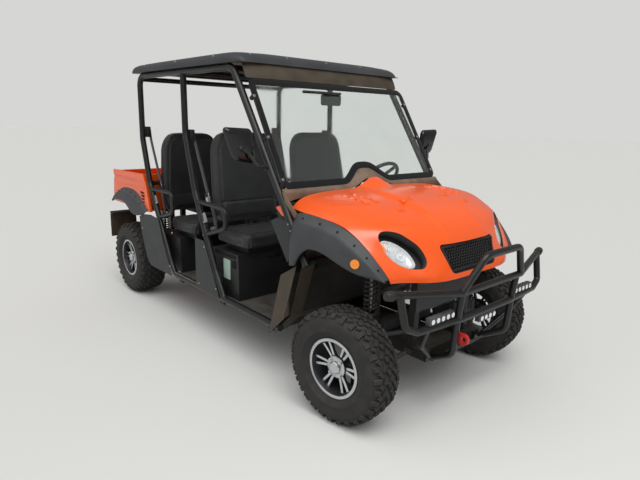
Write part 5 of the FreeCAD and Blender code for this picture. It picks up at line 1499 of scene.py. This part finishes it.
def make_roof():
    """Crowned roof with rounded shoulders and a turned rim, its flange, lining and screws."""
    low, high = (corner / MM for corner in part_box("roof"))
    half, base, top = high.y, low.z, high.z
    # Height shares from the edge to the middle
    across = ((1.0, 0.0), (1.0, 0.3), (0.986, 0.66), (0.945, 0.85), (0.87, 0.92), (0.72, 0.95),
              (0.68, 1.0), (0.3, 1.0))
    # Distance along the roof, height of the crown there and half width, all as shares
    along = ((0, 0.02, 0.972), (0.002, 0.45, 0.984), (0.014, 0.78, 0.996), (0.05, 0.92, 1.0),
             (0.14, 0.97, 1.0), (0.4, 1.0, 1.0), (0.7, 1.0, 1.0), (0.86, 1.0, 1.0),
             (0.92, 0.96, 0.998), (0.96, 0.85, 0.985), (0.987, 0.52, 0.96), (1.0, 0.03, 0.94))
    rows = []
    for share, rise, wide in along:
        x = low.x + (high.x - low.x) * share
        row = [(x, side * half * wide, base + (top - base) * rise * height)
               for side, height in across]
        rows.append([(x, -y, z) for x, y, z in row] + [(x, 0, row[-1][2])] + row[::-1])
    mesh = bmesh.new()
    skin(mesh, rows)
    crease_border(mesh, 0.9)
    face_out(mesh)
    roof = moulding("roof_moulding", mesh, ["roof_plastic", "roof_lining"], 2, 5, 50, ["roof"])
    mesh = bmesh.new()
    # Flange that lies on the cage
    outer = [(low.x + 8, -half + 14), (high.x - 8, -half + 14), (high.x - 8, half - 14),
             (low.x + 8, half - 14)]
    face = outline_face(mesh, outer, 0, moved(0, 0, base + 1))
    inset(mesh, face, 50)
    bmesh.ops.delete(mesh, geom=[face], context="FACES_ONLY")
    rim = bmesh.ops.extrude_face_region(mesh, geom=mesh.faces[:], use_keep_orig=True)["geom"]
    shift_fresh(mesh, rim, (0, 0, 4))
    mend_normals(mesh)
    add_piece("roof_flange", mesh, ["roof_lining"])
    # Lining that closes the roof's front, down to the top of the windscreen
    rows = []
    for share in (-1, -0.97, -0.8, -0.4, 0, 0.4, 0.8, 0.97, 1):
        y = share * (half - 46)
        tuck = 26 * max(0, abs(share) - 0.8) / 0.2
        rows.append([(high.x - 16 - tuck, y, base + 4), (high.x + 4 - tuck, y, base - 30),
                     (high.x + 20 - tuck, y, base - 62), (high.x + 27 - tuck, y, base - 88)])
    mesh = bmesh.new()
    skin(mesh, rows)
    moulding("roof_front_lining", mesh, ["roof_lining"], 2, 3, 60)
    # Bright screws around the front of the roof and along its sides
    mesh = bmesh.new()
    for x, y in ((372, 0), (366, 330), (352, 600), (100, 708), (-420, 708), (-940, 708)):
        for side in (-y, y) if y else (0,):
            add_bolt(mesh, on_surface(roof, (x, side, top + 80), (0, 0, -1)), 8, 7)
    add_piece("roof_screws", mesh, ["zinc_steel"])


# Stage

def camera_turn(stage):
    """Rotation of the camera: its right, its up and the way back from where it looks."""
    look = Vector((math.cos(stage.yaw) * math.cos(stage.pitch),
                   math.sin(stage.yaw) * math.cos(stage.pitch), math.sin(stage.pitch)))
    level = look.cross(Vector((0, 0, 1))).normalized()
    plumb = level.cross(look)
    right = level * math.cos(stage.roll) + plumb * math.sin(stage.roll)
    up = plumb * math.cos(stage.roll) - level * math.sin(stage.roll)
    return Matrix((right, up, -look)).transposed()


def add_sun(name, aim, strength, spread_degrees):
    """A wide soft sun, like light through cloud, that shines along a direction."""
    light = bpy.data.lights.new(name, "SUN")
    light.energy, light.angle = strength, math.radians(spread_degrees)
    link_new(name, light).matrix_world = aimed(aim, "-Z")


def add_panel_lamp(name, place, target, energy, size):
    """A square lamp that shines at a point and gleams in the paint."""
    light = bpy.data.lights.new(name, "AREA")
    light.energy, light.size = energy, size
    aim = aimed(Vector(target) - Vector(place), "-Z")
    link_new(name, light).matrix_world = Matrix.Translation(place) @ aim


def make_sky(stage):
    """Even sky: one strength for its light, one for reflections and one for the backdrop."""
    world = bpy.data.worlds.new("even_sky")
    bpy.context.scene.world = world
    world.use_nodes = True
    sky = world.node_tree.nodes["Background"]
    sky.inputs["Color"].default_value = (*stage.floor, 1)
    ray = add_node(world, "ShaderNodeLightPath")
    seen = add_node(world, "ShaderNodeMath", {0: ray.outputs["Is Camera Ray"],
                                              1: ray.outputs["Is Transmission Ray"]},
                    operation="MAXIMUM").outputs[0]
    strength = stage.sky
    for share, value in ((ray.outputs["Is Glossy Ray"], stage.shine), (seen, stage.backdrop)):
        strength = add_node(world, "ShaderNodeMix", {0: share, 2: strength, 3: value}).outputs[0]
    world.node_tree.links.new(strength, sky.inputs["Strength"])


def make_floor_finish(colour):
    """Plain floor: the colour as written to the camera, a matte surface to the light."""
    material = bpy.data.materials.new("floor_paper")
    material.use_nodes = True
    shader = material.node_tree.nodes["Principled BSDF"]
    shader.inputs["Base Color"].default_value = (*colour, 1)
    shader.inputs["Roughness"].default_value = 0.9
    shader.inputs["Specular IOR Level"].default_value = 0.1
    return material


def make_stage(stage):
    """Pale floor, soft lamps, an even sky and the camera at the photograph's view."""
    mesh = bmesh.new()
    bmesh.ops.create_circle(mesh, cap_ends=True, cap_tris=False, segments=64, radius=60)
    floor = link_new("floor", to_data("floor", mesh))
    floor.data.materials.append(make_floor_finish(stage.floor))
    add_sun("sun_front", (-0.55, 0.3, -1), 1.5, 50)
    add_sun("sun_side", (0.3, 0.9, -1), 0.7, 70)
    make_sky(stage)
    add_panel_lamp("gleam", (2.6, -0.9, 3.4), (1.3, 0, 1.1), 22, 1.5)
    camera = bpy.data.cameras.new("camera")
    camera.lens, camera.sensor_width = stage.focal, 36
    camera.clip_end = 200
    viewer = link_new("camera", camera)
    viewer.matrix_world = Matrix.Translation(stage.place) @ camera_turn(stage).to_4x4()
    bpy.context.scene.camera = viewer
    bpy.context.scene.view_settings.view_transform = "Standard"


# Operators

class VEHICLE_OT_stage(bpy.types.Operator):
    """Make the floor, the lamps and the camera"""
    bl_idname = "vehicle.stage"
    bl_label = "Stage"

    def execute(self, context):
        make_stage(context.scene.vehicle.stage)
        return {"FINISHED"}


class VEHICLE_OT_finishes(bpy.types.Operator):
    """Make the finishes and give each CAD piece its own"""
    bl_idname = "vehicle.finishes"
    bl_label = "Finishes"

    def execute(self, context):
        make_finishes(context.scene.vehicle.paint)
        dress_nodes()
        return {"FINISHED"}


class VEHICLE_OT_tyres(bpy.types.Operator):
    """Make the four tyres with their tread blocks"""
    bl_idname = "vehicle.tyres"
    bl_label = "Tyres"

    def execute(self, context):
        for corner in CORNERS:
            make_tyre(corner, context.scene.vehicle.tyre)
        return {"FINISHED"}


class VEHICLE_OT_rims(bpy.types.Operator):
    """Make the four cast wheels"""
    bl_idname = "vehicle.rims"
    bl_label = "Cast wheels"

    def execute(self, context):
        for corner in CORNERS:
            make_rim(corner)
        return {"FINISHED"}


class VEHICLE_OT_hood(bpy.types.Operator):
    """Make the hood with its lamp wells, hump, vents and stands"""
    bl_idname = "vehicle.hood"
    bl_label = "Hood"

    def execute(self, context):
        make_hood()
        return {"FINISHED"}


class VEHICLE_OT_headlamps(bpy.types.Operator):
    """Make the headlamps: reflector, projectors, amber corner and lens"""
    bl_idname = "vehicle.headlamps"
    bl_label = "Headlamps"

    def execute(self, context):
        make_headlamps()
        return {"FINISHED"}


class VEHICLE_OT_grille(bpy.types.Operator):
    """Make the grille with its six-sided openings"""
    bl_idname = "vehicle.grille"
    bl_label = "Grille"

    def execute(self, context):
        make_grille()
        return {"FINISHED"}


class VEHICLE_OT_flares(bpy.types.Operator):
    """Make the four wheel arch flares and their fasteners"""
    bl_idname = "vehicle.flares"
    bl_label = "Flares"

    def execute(self, context):
        make_flare("front_arches", FRONT_FLARE, 16, "front_flares", "chassis")
        make_flare("rear_arches", REAR_FLARE, 14, "rear_flares", "bed")
        return {"FINISHED"}


class VEHICLE_OT_seats(bpy.types.Operator):
    """Stuff and sew the seat cushions and backs"""
    bl_idname = "vehicle.seats"
    bl_label = "Seats"

    def execute(self, context):
        make_seats()
        return {"FINISHED"}


class VEHICLE_OT_screen(bpy.types.Operator):
    """Make the windscreen's glass, border and clamps, and the cowl below it"""
    bl_idname = "vehicle.screen"
    bl_label = "Windscreen and cowl"

    def execute(self, context):
        make_screen()
        make_cowl()
        return {"FINISHED"}


class VEHICLE_OT_fittings(bpy.types.Operator):
    """Make the mirrors and the seat belts"""
    bl_idname = "vehicle.fittings"
    bl_label = "Mirrors and belts"

    def execute(self, context):
        make_mirrors()
        make_belts()
        return {"FINISHED"}


class VEHICLE_OT_bed(bpy.types.Operator):
    """Make the rails, bands, ribs and vents of the bed and the fields of the tailgate"""
    bl_idname = "vehicle.bed"
    bl_label = "Bed trim"

    def execute(self, context):
        make_bed_trim()
        return {"FINISHED"}


class VEHICLE_OT_mechanics(bpy.types.Operator):
    """Make the springs, the steering wheel and the dash with its controls"""
    bl_idname = "vehicle.mechanics"
    bl_label = "Springs and controls"

    def execute(self, context):
        make_shocks()
        make_steering_wheel()
        make_dash_fittings()
        return {"FINISHED"}


class VEHICLE_OT_trim(bpy.types.Operator):
    """Make the work lights and the small trim"""
    bl_idname = "vehicle.trim"
    bl_label = "Lights and small trim"

    def execute(self, context):
        make_work_lights()
        make_tow_plates()
        make_small_trim()
        return {"FINISHED"}


class VEHICLE_OT_roof(bpy.types.Operator):
    """Make the roof with its flange, front lining and screws"""
    bl_idname = "vehicle.roof"
    bl_label = "Roof"

    def execute(self, context):
        make_roof()
        return {"FINISHED"}


STEPS = (VEHICLE_OT_finishes, VEHICLE_OT_tyres, VEHICLE_OT_rims, VEHICLE_OT_hood,
         VEHICLE_OT_headlamps, VEHICLE_OT_grille, VEHICLE_OT_flares, VEHICLE_OT_roof,
         VEHICLE_OT_screen, VEHICLE_OT_seats, VEHICLE_OT_fittings, VEHICLE_OT_bed,
         VEHICLE_OT_mechanics, VEHICLE_OT_trim, VEHICLE_OT_stage)


class VEHICLE_PT_steps(bpy.types.Panel):
    """Lists the settings and the steps that dress the vehicle"""
    bl_label = "Vehicle"
    bl_space_type = "VIEW_3D"
    bl_region_type = "UI"
    bl_category = "Vehicle"

    def draw(self, context):
        settings = context.scene.vehicle
        for group in (settings.tyre, settings.paint, settings.stage):
            box = self.layout.box()
            for name in group.bl_rna.properties.keys():
                if name not in ("rna_type", "name"):
                    box.prop(group, name)
        for step in STEPS:
            self.layout.operator(step.bl_idname)


CLASSES = (TyreSettings, PaintSettings, StageSettings, VehicleSettings, *STEPS, VEHICLE_PT_steps)


def register():
    for item in CLASSES:
        bpy.utils.register_class(item)
    bpy.types.Scene.vehicle = PointerProperty(type=VehicleSettings)


def unregister():
    del bpy.types.Scene.vehicle
    for item in reversed(CLASSES):
        bpy.utils.unregister_class(item)


def main():
    register()
    for step in STEPS:
        group, name = step.bl_idname.split(".")
        getattr(getattr(bpy.ops, group), name)()


if __name__ == "__main__":
    main()
